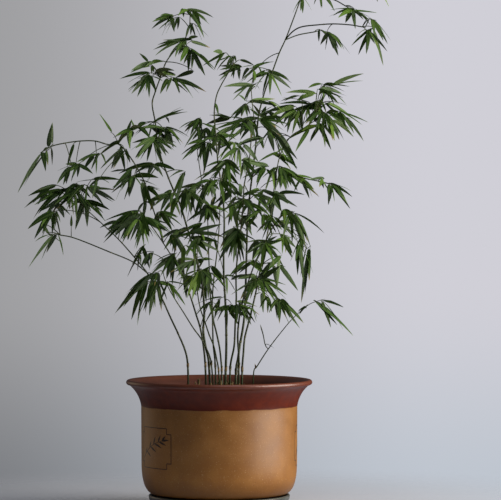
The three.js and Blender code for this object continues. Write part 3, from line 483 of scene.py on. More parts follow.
# Fans of leaves that grow between the sprays in the table: the column and row of the photograph at
# which each fan starts, and then those of each leaf's tip
FANS = [
    [190, 11, 213, 18, 178, 16], [196, 13, 204, 38, 200, 24],
    [170, 17, 152, 29, 152, 22, 160, 16, 164, 29, 174, 32], [184, 40, 153, 50, 198, 37, 178, 55],
    [188, 43, 166, 47, 210, 48], [191, 49, 179, 56, 180, 62, 216, 70, 188, 72, 205, 76],
    [149, 64, 131, 71, 130, 73, 163, 62], [146, 75, 120, 79, 131, 94, 137, 97, 149, 98, 156, 92, 139, 84],
    [189, 72, 175, 78], [159, 73, 174, 71, 176, 76, 168, 78, 148, 80], [173, 80, 160, 94, 188, 93, 205, 92],
    [221, 54, 202, 66, 214, 70, 213, 52], [237, 68, 218, 76, 219, 70, 239, 80], [254, 69, 242, 79, 274, 62],
    [270, 73, 246, 83, 287, 78, 291, 89, 286, 99, 262, 96, 250, 79], [250, 86, 224, 87, 262, 82],
    [251, 101, 238, 95, 279, 107, 275, 99], [243, 106, 233, 120, 250, 115, 241, 117], [238, 119, 221, 118],
    [257, 118, 252, 104, 266, 106, 280, 108, 234, 122, 214, 130, 219, 136],
    [252, 123, 232, 138, 227, 143, 240, 140, 250, 139, 258, 139, 209, 138],
    [263, 122, 284, 146, 275, 140, 270, 133], [282, 140, 296, 169],
    [291, 108, 265, 112, 270, 118, 275, 125, 283, 124, 287, 133, 300, 130],
    [350, 12, 330, 10, 328, 17, 338, 18, 355, 29, 377, 13, 372, 20, 345, 23],
    [369, 30, 351, 46, 383, 66, 358, 55, 353, 43, 366, 54], [373, 20, 396, 37, 387, 44, 383, 41],
    [331, 34, 350, 55, 338, 56, 320, 45, 333, 49], [336, 85, 363, 74], [312, 94, 286, 93, 297, 100],
    [322, 90, 343, 98, 341, 94, 338, 104], [306, 103, 282, 98, 279, 104],
    [318, 108, 300, 108, 297, 103, 290, 112, 303, 124, 308, 127, 318, 131, 327, 129, 323, 96, 336, 100],
    [327, 103, 347, 106, 362, 125, 350, 116], [330, 113, 345, 123, 338, 112, 350, 130],
    [333, 120, 334, 141, 339, 140, 344, 141, 353, 137], [348, 118, 363, 141],
    [321, 124, 331, 150, 324, 138], [314, 126, 286, 141, 302, 131], [305, 130, 295, 152],
    [278, 156, 293, 163, 297, 168], [284, 170, 319, 197, 287, 190, 281, 188],
    [300, 177, 314, 179, 314, 190], [320, 181, 308, 180, 319, 187, 331, 195],
    [333, 185, 352, 197, 350, 209, 328, 205], [283, 194, 304, 195, 288, 204],
    [168, 129, 172, 146, 188, 137, 173, 148, 183, 144, 164, 143], [196, 128, 184, 148, 199, 141],
    [202, 142, 182, 160, 181, 155, 187, 145, 204, 171, 200, 160],
    [230, 144, 212, 146, 222, 143, 217, 159, 213, 152], [245, 145, 262, 138, 236, 147, 258, 162, 241, 157],
    [222, 163, 199, 181, 206, 167, 240, 175], [226, 170, 232, 183, 228, 191, 222, 190, 239, 186],
    [181, 174, 172, 196, 174, 210, 169, 206], [194, 186, 176, 189, 177, 195, 182, 212, 186, 226, 191, 212],
    [206, 182, 188, 190, 200, 196, 193, 220, 199, 214], [213, 181, 222, 186, 216, 200, 208, 196],
    [209, 206, 200, 202, 199, 224, 207, 221, 212, 222, 217, 222, 219, 214],
    [229, 193, 213, 205, 216, 209, 243, 198], [245, 194, 233, 186, 239, 184, 262, 190, 255, 195],
    [244, 201, 250, 216, 238, 212, 231, 209, 222, 222, 262, 211], [235, 206, 231, 222, 238, 232, 243, 225],
    [258, 139, 237, 147, 263, 149], [274, 153, 258, 162, 285, 148],
    [264, 167, 248, 164, 249, 170, 242, 178, 256, 183], [272, 171, 264, 190, 275, 191],
    [264, 191, 246, 194, 280, 200, 297, 207, 258, 206], [251, 206, 266, 213, 241, 217, 250, 222, 257, 218],
    [288, 212, 301, 226, 284, 224, 280, 216, 293, 228], [273, 200, 272, 220, 265, 208, 282, 212],
    [150, 222, 169, 232, 172, 230], [163, 214, 177, 218, 172, 231],
    [196, 233, 222, 224, 223, 237, 171, 240],
    [195, 240, 218, 242, 220, 252, 187, 246, 207, 252, 203, 260, 194, 262],
    [178, 237, 187, 256, 176, 247, 174, 255], [171, 256, 151, 272, 162, 274, 172, 285, 180, 273],
    [201, 261, 174, 272, 197, 272, 214, 261], [251, 262, 230, 277, 263, 273],
    [207, 268, 225, 281, 223, 286, 188, 281, 181, 286, 192, 298, 200, 302, 208, 299],
    [235, 233, 220, 252, 218, 262, 228, 258, 233, 263, 244, 262, 246, 244],
    [218, 299, 194, 306, 204, 325, 214, 319], [241, 303, 257, 307, 251, 325, 255, 323],
    [230, 308, 217, 321, 227, 328, 238, 325, 249, 318, 251, 309, 212, 311],
    [297, 215, 301, 242, 307, 241, 306, 250], [267, 222, 262, 239, 256, 233, 276, 233],
    [281, 222, 291, 233, 296, 241, 286, 229], [286, 239, 268, 246, 285, 253],
    [298, 238, 290, 262, 303, 252], [303, 247, 300, 277], [306, 249, 301, 303, 309, 281],
    [264, 244, 245, 243, 247, 254, 251, 262, 262, 269, 284, 268], [283, 266, 298, 291],
    [277, 258, 263, 275, 277, 288], [266, 296, 263, 313, 272, 309],
    [260, 278, 237, 279, 240, 300, 246, 291, 250, 299, 280, 303, 287, 295, 286, 285],
    [279, 300, 277, 319, 289, 324, 300, 329, 303, 323], [92, 157, 96, 174, 83, 169],
    [80, 166, 93, 174, 69, 172], [67, 169, 57, 184, 63, 185, 66, 184], [50, 186, 17, 215, 33, 203],
    [56, 192, 34, 205, 38, 214, 43, 200], [64, 196, 41, 211, 50, 206, 45, 216],
    [74, 190, 56, 210, 48, 196, 66, 205], [60, 206, 70, 215, 64, 218, 51, 216],
    [48, 212, 28, 228, 34, 239, 41, 227, 55, 232], [45, 225, 50, 236], [51, 234, 63, 244],
    [49, 236, 28, 268], [80, 200, 75, 230, 70, 208, 84, 216, 90, 206],
    [88, 203, 109, 210, 105, 221, 87, 227], [92, 189, 113, 202, 100, 187, 115, 201], [97, 179, 121, 180],
    [119, 149, 100, 169, 111, 169], [131, 131, 131, 120], [126, 132, 113, 138, 118, 141, 130, 149],
    [124, 148, 125, 172], [116, 142, 100, 155],
    [152, 141, 131, 143, 136, 158, 140, 160, 161, 163, 169, 154], [145, 128, 150, 139, 165, 128],
    [158, 121, 184, 109], [150, 165, 119, 174, 147, 178], [158, 165, 175, 170, 162, 174],
    [132, 177, 111, 193, 124, 200, 129, 197, 158, 178], [144, 182, 157, 186, 146, 209],
    [178, 172, 169, 178], [157, 202, 168, 193, 150, 211],
    [135, 212, 104, 221, 106, 230, 103, 243, 114, 235, 120, 240, 128, 240],
    [144, 222, 169, 232, 149, 237, 134, 249], [141, 247, 127, 277, 133, 266, 149, 268],
    [143, 279, 115, 313, 122, 303, 131, 320], [153, 281, 136, 322, 149, 316, 143, 311],
    [160, 284, 163, 306, 176, 288], [141, 214, 120, 232, 130, 241, 144, 234, 143, 240],
    [147, 219, 170, 232, 149, 237, 136, 249, 158, 230], [134, 213, 122, 243, 127, 240, 112, 226, 114, 237],
    [163, 213, 178, 217, 172, 231, 175, 228, 171, 222],
    [172, 255, 150, 275, 155, 262, 160, 277, 166, 279, 178, 268, 170, 280],
    [175, 236, 176, 251, 188, 256, 182, 255, 196, 242, 170, 246], [149, 254, 149, 270, 144, 266],
    [181, 262, 196, 260, 188, 268, 179, 276, 184, 278], [199, 224, 180, 232, 184, 240, 190, 240, 176, 238],
    [143, 281, 131, 319, 114, 315, 137, 326, 123, 307],
    [196, 272, 178, 280, 183, 294, 187, 298, 192, 300, 176, 292, 199, 292],
    [237, 229, 245, 252, 241, 263, 236, 259, 231, 257, 247, 246], [250, 263, 229, 276, 264, 275, 262, 270],
    [236, 279, 251, 275], [264, 278, 275, 259, 280, 266, 270, 262], [277, 268, 277, 290],
    [267, 245, 277, 236, 283, 240, 274, 231], [281, 300, 278, 318, 286, 318, 292, 312],
    [279, 135, 297, 170, 290, 160, 292, 152],
    [262, 119, 280, 136, 284, 131, 276, 128, 288, 124, 272, 130, 283, 117, 286, 140], [261, 137, 264, 148],
    [259, 141, 250, 150], [272, 132, 274, 152],
    [283, 168, 286, 191, 280, 189, 297, 191, 312, 190, 300, 183, 276, 188, 291, 186],
    [270, 170, 265, 192, 274, 191], [277, 195, 288, 204, 281, 212, 273, 212, 270, 205],
    [258, 207, 268, 214, 262, 218], [129, 130, 131, 119, 115, 136, 118, 141, 129, 148, 140, 127],
    [141, 128, 150, 139, 146, 122, 132, 131],
    [151, 140, 137, 159, 135, 158, 162, 164, 132, 143, 165, 149, 160, 132], [45, 193, 18, 214, 24, 208],
    [50, 213, 28, 229], [52, 186, 28, 196, 38, 190],
    [88, 187, 70, 199, 75, 205, 96, 200, 104, 206, 84, 212, 100, 191],
    [72, 186, 62, 200, 80, 203, 90, 198, 68, 207, 58, 196],
    [128, 170, 112, 190, 120, 188, 128, 196, 110, 172], [158, 138, 172, 150, 166, 156, 176, 143],
    [152, 127, 168, 133, 178, 138, 171, 143], [203, 130, 197, 145, 210, 143, 204, 150, 192, 140],
    [205, 148, 203, 176], [216, 140, 232, 126, 240, 133, 228, 146, 206, 138],
    [222, 136, 236, 140, 232, 152, 218, 156, 212, 150],
    [225, 162, 208, 172, 212, 180, 224, 184, 236, 178, 240, 172, 230, 188, 216, 168],
    [246, 162, 262, 168, 258, 176, 252, 182, 240, 180, 236, 172],
    [222, 182, 206, 192, 212, 202, 224, 204, 232, 198, 238, 190], [262, 196, 276, 206, 270, 214, 258, 214],
    [232, 230, 220, 248, 226, 254, 234, 257, 241, 252, 246, 243, 222, 238],
    [246, 218, 258, 228, 252, 236, 240, 232], [268, 216, 262, 230, 272, 236, 282, 230, 276, 222],
    [262, 243, 246, 254, 252, 260, 262, 262, 272, 258, 278, 250], [284, 236, 296, 248, 292, 258, 282, 254],
    [188, 276, 178, 290, 186, 298, 196, 296, 202, 290], [206, 280, 196, 296, 206, 302, 214, 300, 218, 292],
    [326, 86, 308, 88, 345, 92, 340, 86, 318, 96], [296, 112, 284, 128, 292, 134, 302, 128, 280, 120],
    [118, 222, 104, 238, 108, 230, 100, 228], [318, 302, 353, 336, 337, 325], [52, 145, 52, 123],
    [47, 150, 52, 165, 24, 186], [148, 188, 144, 206, 152, 210, 160, 200, 158, 190],
    [168, 192, 154, 206, 160, 212, 172, 210], [190, 190, 180, 207, 186, 213, 195, 214, 201, 206],
    [208, 182, 196, 196, 203, 200, 212, 198, 219, 190], [172, 200, 162, 214, 170, 220, 180, 216],
    [196, 120, 184, 132, 190, 136, 202, 132], [250, 122, 240, 136, 252, 138, 258, 130],
    [226, 118, 206, 124, 212, 113], [209, 208, 186, 222, 193, 229, 229, 214, 220, 223, 216, 196, 199, 196],
    [149, 203, 137, 213, 143, 219, 160, 199, 168, 193], [240, 198, 226, 188, 226, 208, 262, 192, 256, 216],
    [176, 232, 160, 240, 164, 250, 172, 252, 190, 229],
]


def seen(place):
    """The point that shows at a column and row of the photograph and lies depth behind the pot's
    axis: the point of the axis plane, moved along its ray from the eye."""
    column, row, depth = place
    behind = depth * DEPTH_SPREAD
    across = (column - AXIS_COLUMN) * MM_PER_PIXEL
    height = RIM_HEIGHT + (RIM_ROW - row) * MM_PER_PIXEL
    stretch = (behind - EYE[1]) / -EYE[1]
    return EYE + (np.array([across, 0.0, height]) - EYE) * stretch


def shown_at(point):
    """The column and row of the photograph at which a point shows."""
    stretch = EYE[1] / (EYE[1] - point[1])
    across, _, height = EYE + (point - EYE) * stretch
    return AXIS_COLUMN + across / MM_PER_PIXEL, RIM_ROW - (height - RIM_HEIGHT) / MM_PER_PIXEL


def make_draw(seed):
    """A seeded draw between 0 and 1 from the congruence that the solids use."""
    state = [(seed * SEED_FACTOR) % DRAW_RANGE]

    def draw():
        state[0] = (DRAW_FACTOR * state[0] + DRAW_STEP) % DRAW_RANGE
        return state[0] / DRAW_RANGE

    for _ in range(SKIPPED_DRAWS):
        draw()
    return draw


def direction(heading_degrees, pitch_degrees):
    """Unit vector at a heading about +Z from +X and a pitch above the horizon."""
    heading, pitch = math.radians(heading_degrees), math.radians(pitch_degrees)
    level = math.cos(pitch)
    return np.array([math.cos(heading) * level, math.sin(heading) * level, math.sin(pitch)])


def aim_of(way):
    """A unit vector's heading and pitch in degrees."""
    return math.degrees(math.atan2(way[1], way[0])), math.degrees(math.asin(way[2]))


def unit(vectors):
    return vectors / np.linalg.norm(vectors, axis=-1, keepdims=True)


# The room that is taken, as balls of x, y, z and radius, each with the number of its culm
room = {"balls": np.zeros((MOST_BALLS, 4)), "owner": np.zeros(MOST_BALLS, int), "count": 0}


def take(balls, owner):
    start = room["count"]
    room["count"] = start + len(balls)
    room["balls"][start:room["count"]] = balls
    room["owner"][start:room["count"]] = owner


def is_clear(balls, owner):
    """True if no ball comes near one of another culm."""
    taken = room["balls"][:room["count"]]
    centre = balls[:, :3].mean(axis=0)
    reach = np.linalg.norm(balls[:, :3] - centre, axis=1).max() + BALL_REACH
    others = room["owner"][:room["count"]] != owner
    near = taken[others & (np.linalg.norm(taken[:, :3] - centre, axis=1) < reach)]
    gaps = np.linalg.norm(balls[:, None, :3] - near[None, :, :3], axis=2)
    return bool(np.all(gaps > balls[:, None, 3] + near[None, :, 3] + BALL_MARGIN))


def stem_balls(points, start_radius, end_radius):
    """Balls every few millimetres along a line of points, with a radius that runs from start to end."""
    rows = []
    for i in range(len(points) - 1):
        way = points[i + 1] - points[i]
        steps = max(1, math.ceil(np.linalg.norm(way) / STEM_BALL_STEP))
        t = np.arange(steps)[:, None] / steps
        radius = start_radius + (end_radius - start_radius) * (i + t) / (len(points) - 1)
        rows.append(np.hstack([points[i] + way * t, radius]))
    return np.vstack(rows)


def breadths(outline, places):
    """A leaf's width at places as a share of its full one: scale t^rise (1-t)^fall."""
    scale, rise, fall = outline
    return scale * places ** rise * (1 - places) ** fall


def leaf_width(length):
    return LEAF_LEAST_WIDTH + LEAF_WIDTH_PER_LENGTH * length


def make_leaf(root, aim, length, breadth, droop, roll, spray):
    """A leaf: its aim is its heading and pitch in degrees, and its breadth a share of the width that
    such a length has."""
    return {"root": root, "aim": aim, "length": length, "width": leaf_width(length) * breadth,
            "droop": droop, "roll": roll, "spray": spray}


def leaf_balls(leaf):
    """Balls along a leaf's midrib, which goes straight ahead less a fall that grows with the square
    of the place."""
    straight = direction(*leaf["aim"])
    fall = straight * straight[2] - UP
    t = BALL_PLACES[:, None]
    middle = leaf["root"] + straight * leaf["length"] * t + fall * leaf["length"] * leaf["droop"] * t * t
    return np.hstack([middle, breadths(LEAF_OUTLINE, t) * leaf["width"] / 2])


def in_box(balls):
    """True if the last of a leaf's balls, its tip, lies in the solids' box."""
    lowest, highest = (np.array(corner) / METRES for corner in CAD_BOX)
    tip = balls[-1, :3]
    return bool(np.all(tip >= lowest - BOX_SLACK) and np.all(tip <= highest + BOX_SLACK))


def solid_count(leaves):
    return max(1, math.floor(leaves * SOLID_SHARE + 0.5))


def plan_twig(start, end, aim, leaves):
    """The twig that carries a spray: a bend from the culm up and over to the shoot, then the shoot."""
    ahead = direction(aim[0], aim[1] * TWIG_LEVEL)
    shoot = ahead * LEAF_SPACING * (solid_count(leaves) - 1)
    foot = end - shoot
    arch = (start + foot) / 2 + UP * TWIG_ARCH * np.linalg.norm(foot - start)
    tip = end + ahead * SHOOT_TIP_LENGTH
    return {"start": start, "arch": arch, "foot": foot, "shoot": shoot, "end": end, "tip": tip}


def twig_line(twig, steps):
    """The bend (1-t)^2 start + 2 t (1-t) arch + t^2 foot, and then the tip."""
    t = np.linspace(0, 1, steps + 1)[:, None]
    bend = (1 - t) ** 2 * twig["start"] + 2 * t * (1 - t) * twig["arch"] + t * t * twig["foot"]
    return np.vstack([bend, twig["tip"]])


def place_twig(owner, start, place, aim, leaves, shifts):
    """Of the twigs that end where a spray shows, each shifted in depth, the first that is clear, or
    else the first."""
    column, row, depth = place
    twigs = [plan_twig(start, seen([column, row, depth + shift]), aim, leaves) for shift in shifts]
    radii = [TWIG_DIAMETER / 2, TWIG_TIP_DIAMETER / 2]
    balls = [stem_balls(twig_line(twig, TWIG_ROOM_STEPS), *radii) for twig in twigs]
    chosen = next((i for i in range(len(twigs)) if is_clear(balls[i], owner)), 0)
    take(balls[chosen], owner)
    return twigs[chosen]


def place_leaves(culm, owner, twig, spray, number, later):
    """Leaves stand off both sides of the shoot in turn, wider at its foot and closer at its tip. The
    later ones, which the solids don't have, stand between the first, a little longer and flatter. A leaf
    turns until it hangs clear, and one that no turn clears, or that leaves the box, is left out."""
    heading, pitch, leaves, longest = spray[4:8]
    first = solid_count(leaves)
    count = max(0, math.floor(leaves * FULL_SHARE + 0.5) - first) if later else first
    draw = make_draw(number + (LATER_DRAWS if later else 0))
    single = first == 1 and not later
    spread = 0 if single else 1
    for i in range(count):
        if later:
            along = (i + 0.5) / count
        else:
            along = 1 if count == 1 else i / (count - 1)
        side = 1 if (i + number + later) % 2 == 1 else -1
        turn = 0 if single else side * (LEAF_TURN_AT_FOOT - LEAF_TURN_FALL * along)
        draws = [draw() for _ in range(6)]
        share = LEAF_LENGTH_AT_FOOT + LEAF_LENGTH_GAIN * along
        length = longest * (share + LEAF_LENGTH_SPREAD * (draws[2] - 0.5))
        length *= LATER_LENGTH if later else 1
        aim = heading + turn + spread * LEAF_HEADING_SPREAD * (draws[0] - 0.5)
        slope = pitch * (LATER_PITCH if later else 1) + spread * LEAF_PITCH_SPREAD * (draws[1] - 0.5)
        for heading_turn, pitch_turn in LEAF_TURNS:
            leaf = make_leaf(twig["foot"] + twig["shoot"] * along, (aim + heading_turn, slope + pitch_turn),
                             length, LEAF_BREADTH + LEAF_BREADTH_SPREAD * draws[3],
                             LEAF_DROOP + LEAF_DROOP_SPREAD * draws[4],
                             math.radians(LEAF_ROLL_SPREAD * (draws[5] - 0.5)), number)
            balls = leaf_balls(leaf)
            if is_clear(balls, owner):
                take(balls, owner)
                if in_box(balls):
                    culm["leaves"].append(leaf)
                break


def fan_leaf(root, aim, length, droop, number, draws):
    """A leaf with the roll, of a few, at which its blade shows broadest: the blade's way across is
    level cos r + beside sin r, and what shows of it is its part square to the blade's way there."""
    rolls = np.radians(draws.uniform(-FAN_ROLL, FAN_ROLL, FAN_ROLL_DRAWS))
    straight = direction(*aim)
    level = unit(np.cross(straight, UP))
    beside = np.cross(straight, level)
    across = level * np.cos(rolls)[:, None] + beside * np.sin(rolls)[:, None]
    shown = np.abs(across[:, 0] * straight[2] - across[:, 2] * straight[0])
    return make_leaf(root, aim, length, draws.uniform(*FAN_BREADTH), droop, rolls[np.argmax(shown)], number)


def aimed_leaf(root, tip, number, draws):
    """A leaf from its root to its tip: it starts a little above the straight way, and falls to it."""
    droop = FAN_DROOP + FAN_DROOP_SPREAD * draws.random()
    length = np.linalg.norm(tip - root)
    return fan_leaf(root, aim_of(unit((tip - root) / length + droop * UP)), length, droop, number, draws)


def smaller_leaf(leaf, draws):
    """A leaf from the same point of the shoot as another, turned aside from it and shorter."""
    heading = leaf["aim"][0] + draws.uniform(-SMALLER_TURN, SMALLER_TURN)
    pitch = leaf["aim"][1] + draws.uniform(-SMALLER_TURN, SMALLER_TURN) / 2
    length = leaf["length"] * draws.uniform(*SMALLER_LENGTH)
    return fan_leaf(leaf["root"], (heading, pitch), length, leaf["droop"], leaf["spray"], draws)


def hangs_clear(leaf, owner):
    """Takes a leaf's room if no other culm has it and the leaf lies in the solids' box."""
    balls = leaf_balls(leaf)
    if not (is_clear(balls, owner) and in_box(balls)):
        return False
    take(balls, owner)
    return True


def place_fan(culms, fan, number, joints):
    """A twig from a joint that shows near the fan's start, and a leaf to each tip, some with a smaller
    one beside it. A leaf that other culms' leaves leave no room for is left out."""
    draws = np.random.default_rng([FAN_SEED, *fan[:2]])
    start, tips = fan[:2], [fan[i:i + 2] for i in range(2, len(fan), 2)]
    gaps = np.array([math.dist(shown_at(point), start) for _, point in joints])
    near = np.flatnonzero(gaps < max(FAN_JOINT_REACH, gaps.min() + 1))
    owner, joint = joints[draws.choice(near)]
    depth = (joint[1] + FAN_DEPTH * draws.uniform(-1, 1)) / DEPTH_SPREAD
    foot = seen([*start, depth])
    ahead = unit(np.mean([seen([*tip, depth]) for tip in tips], axis=0) - foot)
    twig = place_twig(owner, joint, [*start, depth], aim_of(ahead), FAN_SHOOT_LEAVES, [0])
    culms[owner]["twigs"].append(twig)
    for count, tip in enumerate(tips):
        root = twig["foot"] + twig["shoot"] * count / len(tips)
        shown = MM_PER_PIXEL * math.dist(start, tip)
        away = math.sqrt(max(0, draws.uniform(*FAN_LENGTH) ** 2 - shown ** 2)) * draws.choice([-1, 1])
        for turn in FAN_TURNS:
            aim = seen([*tip, (root[1] + turn * away) / DEPTH_SPREAD])
            leaf = aimed_leaf(root, aim, number, draws)
            if hangs_clear(leaf, owner):
                culms[owner]["leaves"].append(leaf)
                beside = smaller_leaf(leaf, draws)
                if draws.random() < SMALLER_SHARE and hangs_clear(beside, owner):
                    culms[owner]["leaves"].append(beside)
                break


def grow_clump():
    """Culms and branches first, then every twig, then every leaf, so that leaves give way to stems.
    What the solids don't have comes last: the fans, and the later leaves of the sprays."""
    culms, sprays, joints = [], [], []
    for owner, (name, diameter, places, culm_sprays, branches) in enumerate(CULMS):
        route = np.array([seen(place) for place in places])
        down = unit(route[0] - route[1])
        foot = route[0] + down * CULM_DEPTH_IN_SOIL
        limbs = [[np.vstack([foot, route]), diameter / 2, diameter / 2 * (1 - CULM_TAPER)]]
        sprays += [[owner, route[spray[0]], spray] for spray in culm_sprays]
        joints += [[owner, point] for point in route]
        for branch_diameter, joint, branch_places, branch_sprays in branches:
            path = np.vstack([route[joint], [seen(place) for place in branch_places]])
            limbs.append([path, branch_diameter / 2, TWIG_TIP_DIAMETER / 2])
            sprays += [[owner, path[spray[0]], spray] for spray in branch_sprays]
            joints += [[owner, point] for point in path[1:]]
        for limb in limbs:
            take(stem_balls(*limb), owner)
        culms.append({"name": name, "foot": foot, "down": down, "limbs": limbs, "twigs": [], "leaves": []})
    twigs = []
    for owner, start, spray in sprays:
        twigs.append(place_twig(owner, start, spray[1:4], spray[4:6], spray[6], TWIG_SHIFTS))
        culms[owner]["twigs"].append(twigs[-1])
    for index, (owner, _, spray) in enumerate(sprays):
        place_leaves(culms[owner], owner, twigs[index], spray, index + 1, False)
    for index, fan in enumerate(FANS):
        place_fan(culms, fan, len(sprays) + index + 1, joints)
    for index, (owner, _, spray) in enumerate(sprays):
        place_leaves(culms[owner], owner, twigs[index], spray, index + 1, True)
    return culms


def grid_faces(rows, columns, wrap_columns, wrap_rows=False):
    """Four-cornered faces of a grid of rows and columns of points, facing outward where the columns
    run anticlockwise about the way the rows run."""
    i = np.arange(rows if wrap_rows else rows - 1)[:, None]
    k = np.arange(columns if wrap_columns else columns - 1)[None, :]
    here = i * columns
    there = ((i + 1) % rows) * columns
    beside = (k + 1) % columns
    return np.stack([here + k, here + beside, there + beside, there + k], axis=-1).reshape(-1, 4)


def cap_faces(rings, sides):
    """Three-cornered faces from a tube's first ring to the point after its rings, and from its last
    ring to the point after that."""
    count = rings * sides
    k = np.arange(sides)
    beside = (k + 1) % sides
    foot = np.stack([np.full(sides, count), beside, k], axis=-1)
    top = np.stack([count - sides + k, count - sides + beside, np.full(sides, count + 1)], axis=-1)
    return np.vstack([foot, top])


def part(verts, quads, tris=(), slot=0, uv=None, points=None, back=None):
    """One stretch of a piece's mesh. points holds values for its vertices by name, and back one
    value for each face."""
    quads = np.asarray(quads, int).reshape(-1, 4)
    tris = np.asarray(tris, int).reshape(-1, 3)
    verts = np.asarray(verts, float).reshape(-1, 3)
    return {
        "verts": verts,
        "quads": quads,
        "tris": tris,
        "slot": slot,
        "uv": np.zeros((len(verts), 2)) if uv is None else np.asarray(uv, float).reshape(-1, 2),
        "points": points or {},
        "back": np.zeros(len(quads) + len(tris)) if back is None else back,
    }


def link_object(name, data):
    thing = bpy.data.objects.new(name, data)
    bpy.context.scene.collection.objects.link(thing)
    return thing


def joined(name, parts):
    """One mesh in metres of all parts, with their UV, vertex values, slots and undersides."""
    verts = np.vstack([p["verts"] for p in parts]) * METRES
    starts = np.cumsum([0] + [len(p["verts"]) for p in parts])
    corners, counts = [], []
    for p, start in zip(parts, starts):
        corners += [(p["quads"] + start).ravel(), (p["tris"] + start).ravel()]
        counts += [np.full(len(p["quads"]), 4), np.full(len(p["tris"]), 3)]
    corners, counts = np.concatenate(corners), np.concatenate(counts)
    slots = np.concatenate([np.full(len(p["back"]), p["slot"]) for p in parts])
    back = np.concatenate([p["back"] for p in parts])
    mesh = bpy.data.meshes.new(name)
    mesh.vertices.add(len(verts))
    mesh.vertices.foreach_set("co", verts.ravel())
    mesh.loops.add(len(corners))
    mesh.loops.foreach_set("vertex_index", corners)
    mesh.polygons.add(len(counts))
    mesh.polygons.foreach_set("loop_start", np.concatenate([[0], np.cumsum(counts)[:-1]]))
    mesh.polygons.foreach_set("material_index", slots)
    uv = np.vstack([p["uv"] for p in parts]) * METRES
    mesh.uv_layers.new(name="along").data.foreach_set("uv", uv[corners].ravel())
    for key in sorted({key for p in parts for key in p["points"]}):
        values = [np.broadcast_to(p["points"].get(key, 0.0), len(p["verts"])) for p in parts]
        mesh.attributes.new(key, "FLOAT", "POINT").data.foreach_set("value", np.concatenate(values))
    if back.any():
        mesh.attributes.new("back", "FLOAT", "FACE").data.foreach_set("value", back)
    mesh.update(calc_edges=True)
    mesh.validate()
    mesh.polygons.foreach_set("use_smooth", np.ones(len(counts), bool))
    return mesh


def make_piece(name, parts, materials, nodes=(), crease_degrees=50):
    """Joins parts into one piece, with its materials, and hands it to the root body."""
    mesh = joined(name, parts)
    mesh.set_sharp_from_angle(angle=math.radians(crease_degrees))
    for material in materials:
        mesh.materials.append(material)
    piece = link_object(name, mesh)
    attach(piece, "root")
    if nodes:
        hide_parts(*nodes)


def outline_of(start, *legs):
    """An outline's points, leg by leg. A leg goes on from where the last one ended. [end, steps] is
    straight, and [end, steps, via] the bend (1-t)^2 start + 2 t (1-t) via + t^2 end."""
    runs = [np.array([start], float)]
    for end, steps, *via in legs:
        start, end = runs[-1][-1], np.array(end, float)
        t = np.linspace(0, 1, steps + 1)[1:, None]
        if via:
            runs.append((1 - t) ** 2 * start + 2 * t * (1 - t) * np.array(via[0], float) + t * t * end)
        else:
            runs.append(start + (end - start) * t)
    return np.vstack(runs)


def arc(centre, radius, first_degrees, last_degrees, steps):
    """Points on a circle about centre from one angle to another."""
    turn = np.radians(np.linspace(first_degrees, last_degrees, steps + 1))[:, None]
    return np.array(centre) + radius * np.hstack([np.cos(turn), np.sin(turn)])


def turned(outline):
    """A closed outline of radius and height carried round +Z: each point goes to
    (radius cos a, radius sin a, height)."""
    angle = 2 * np.pi * np.arange(ROUND_SIDES) / ROUND_SIDES
    radius, height = outline[:, :1], outline[:, 1:]
    verts = np.stack([radius * np.cos(angle), radius * np.sin(angle), height + 0 * angle], axis=-1)
    return part(verts, grid_faces(len(outline), ROUND_SIDES, True, True))


def turned_from_axis(outline):
    """An outline of radius and height that starts and ends on the axis, carried round +Z and closed
    there by a point at each end."""
    rows = len(outline) - 2
    ends = [[0, 0, outline[0][1]], [0, 0, outline[-1][1]]]
    verts = np.vstack([turned(outline[1:-1])["verts"], ends])
    return part(verts, grid_faces(rows, ROUND_SIDES, True), cap_faces(rows, ROUND_SIDES))


def pot_outline():
    """The wall's outline from the drain hole out under the floor, down and round the foot ring, up
    the body, round the lip and down the inside."""
    seat = SAUCER_FLOOR + GAP
    under = POT_FLOOR_UNDERSIDE
    floor = under + POT_FLOOR_THICKNESS
    inner = BODY_RADIUS - WALL
    ring = FOOT_RADIUS - FOOT_WIDTH
    rounding = FOOT_ROUNDING
    lip = RIM_RADIUS - LIP_RADIUS
    top = RIM_HEIGHT + LIP_RADIUS
    outside = outline_of(
        [DRAIN_RADIUS, under],
        [[ring - FLOOR_ROUNDING, under], 4],
        [[ring, under - FLOOR_ROUNDING], 2, [ring, under]],
        [[ring, seat + rounding], 2],
        [[ring + rounding, seat], 3, [ring, seat]],
        [[FOOT_RADIUS - rounding, seat], 2],
        [[FOOT_RADIUS, seat + rounding], 3, [FOOT_RADIUS, seat]],
        [STEP + STEP_START, 3],
        [STEP + STEP_END, 4, STEP],
        [SHOULDER + SHOULDER_START, 3],
        [SHOULDER + SHOULDER_END, 3, SHOULDER],
        [[BODY_RADIUS, BODY_WIDEST_HEIGHT], BEND_STEPS, BODY_BEND],
        [[NECK_RADIUS, NECK_HEIGHT], 12],
        [[RIM_RADIUS - LIP_REACH, RIM_HEIGHT - LIP_DEPTH], BEND_STEPS, NECK_BEND],
    )
    inside = outline_of(
        [lip, top],
        [[MOUTH_RADIUS, RIM_HEIGHT - MOUTH_DEPTH], 6, [RIM_RADIUS - LIP_BEND_INSET, top]],
        [[inner, WALL_INSIDE_TOP], BEND_STEPS, THROAT_BEND],
        [[inner, WALL_INSIDE_FOOT], 6],
        [[inner - POT_FLOOR_INSET, floor], BEND_STEPS, [inner, floor + POT_FLOOR_BEND_RISE]],
        [[DRAIN_RADIUS, floor], 4],
        [[DRAIN_RADIUS, under], 3],
    )
    edge = arc((lip, RIM_HEIGHT), LIP_RADIUS, LIP_START_DEGREES, 90, BEND_STEPS)
    return np.vstack([outside, edge, inside[1:-1]])


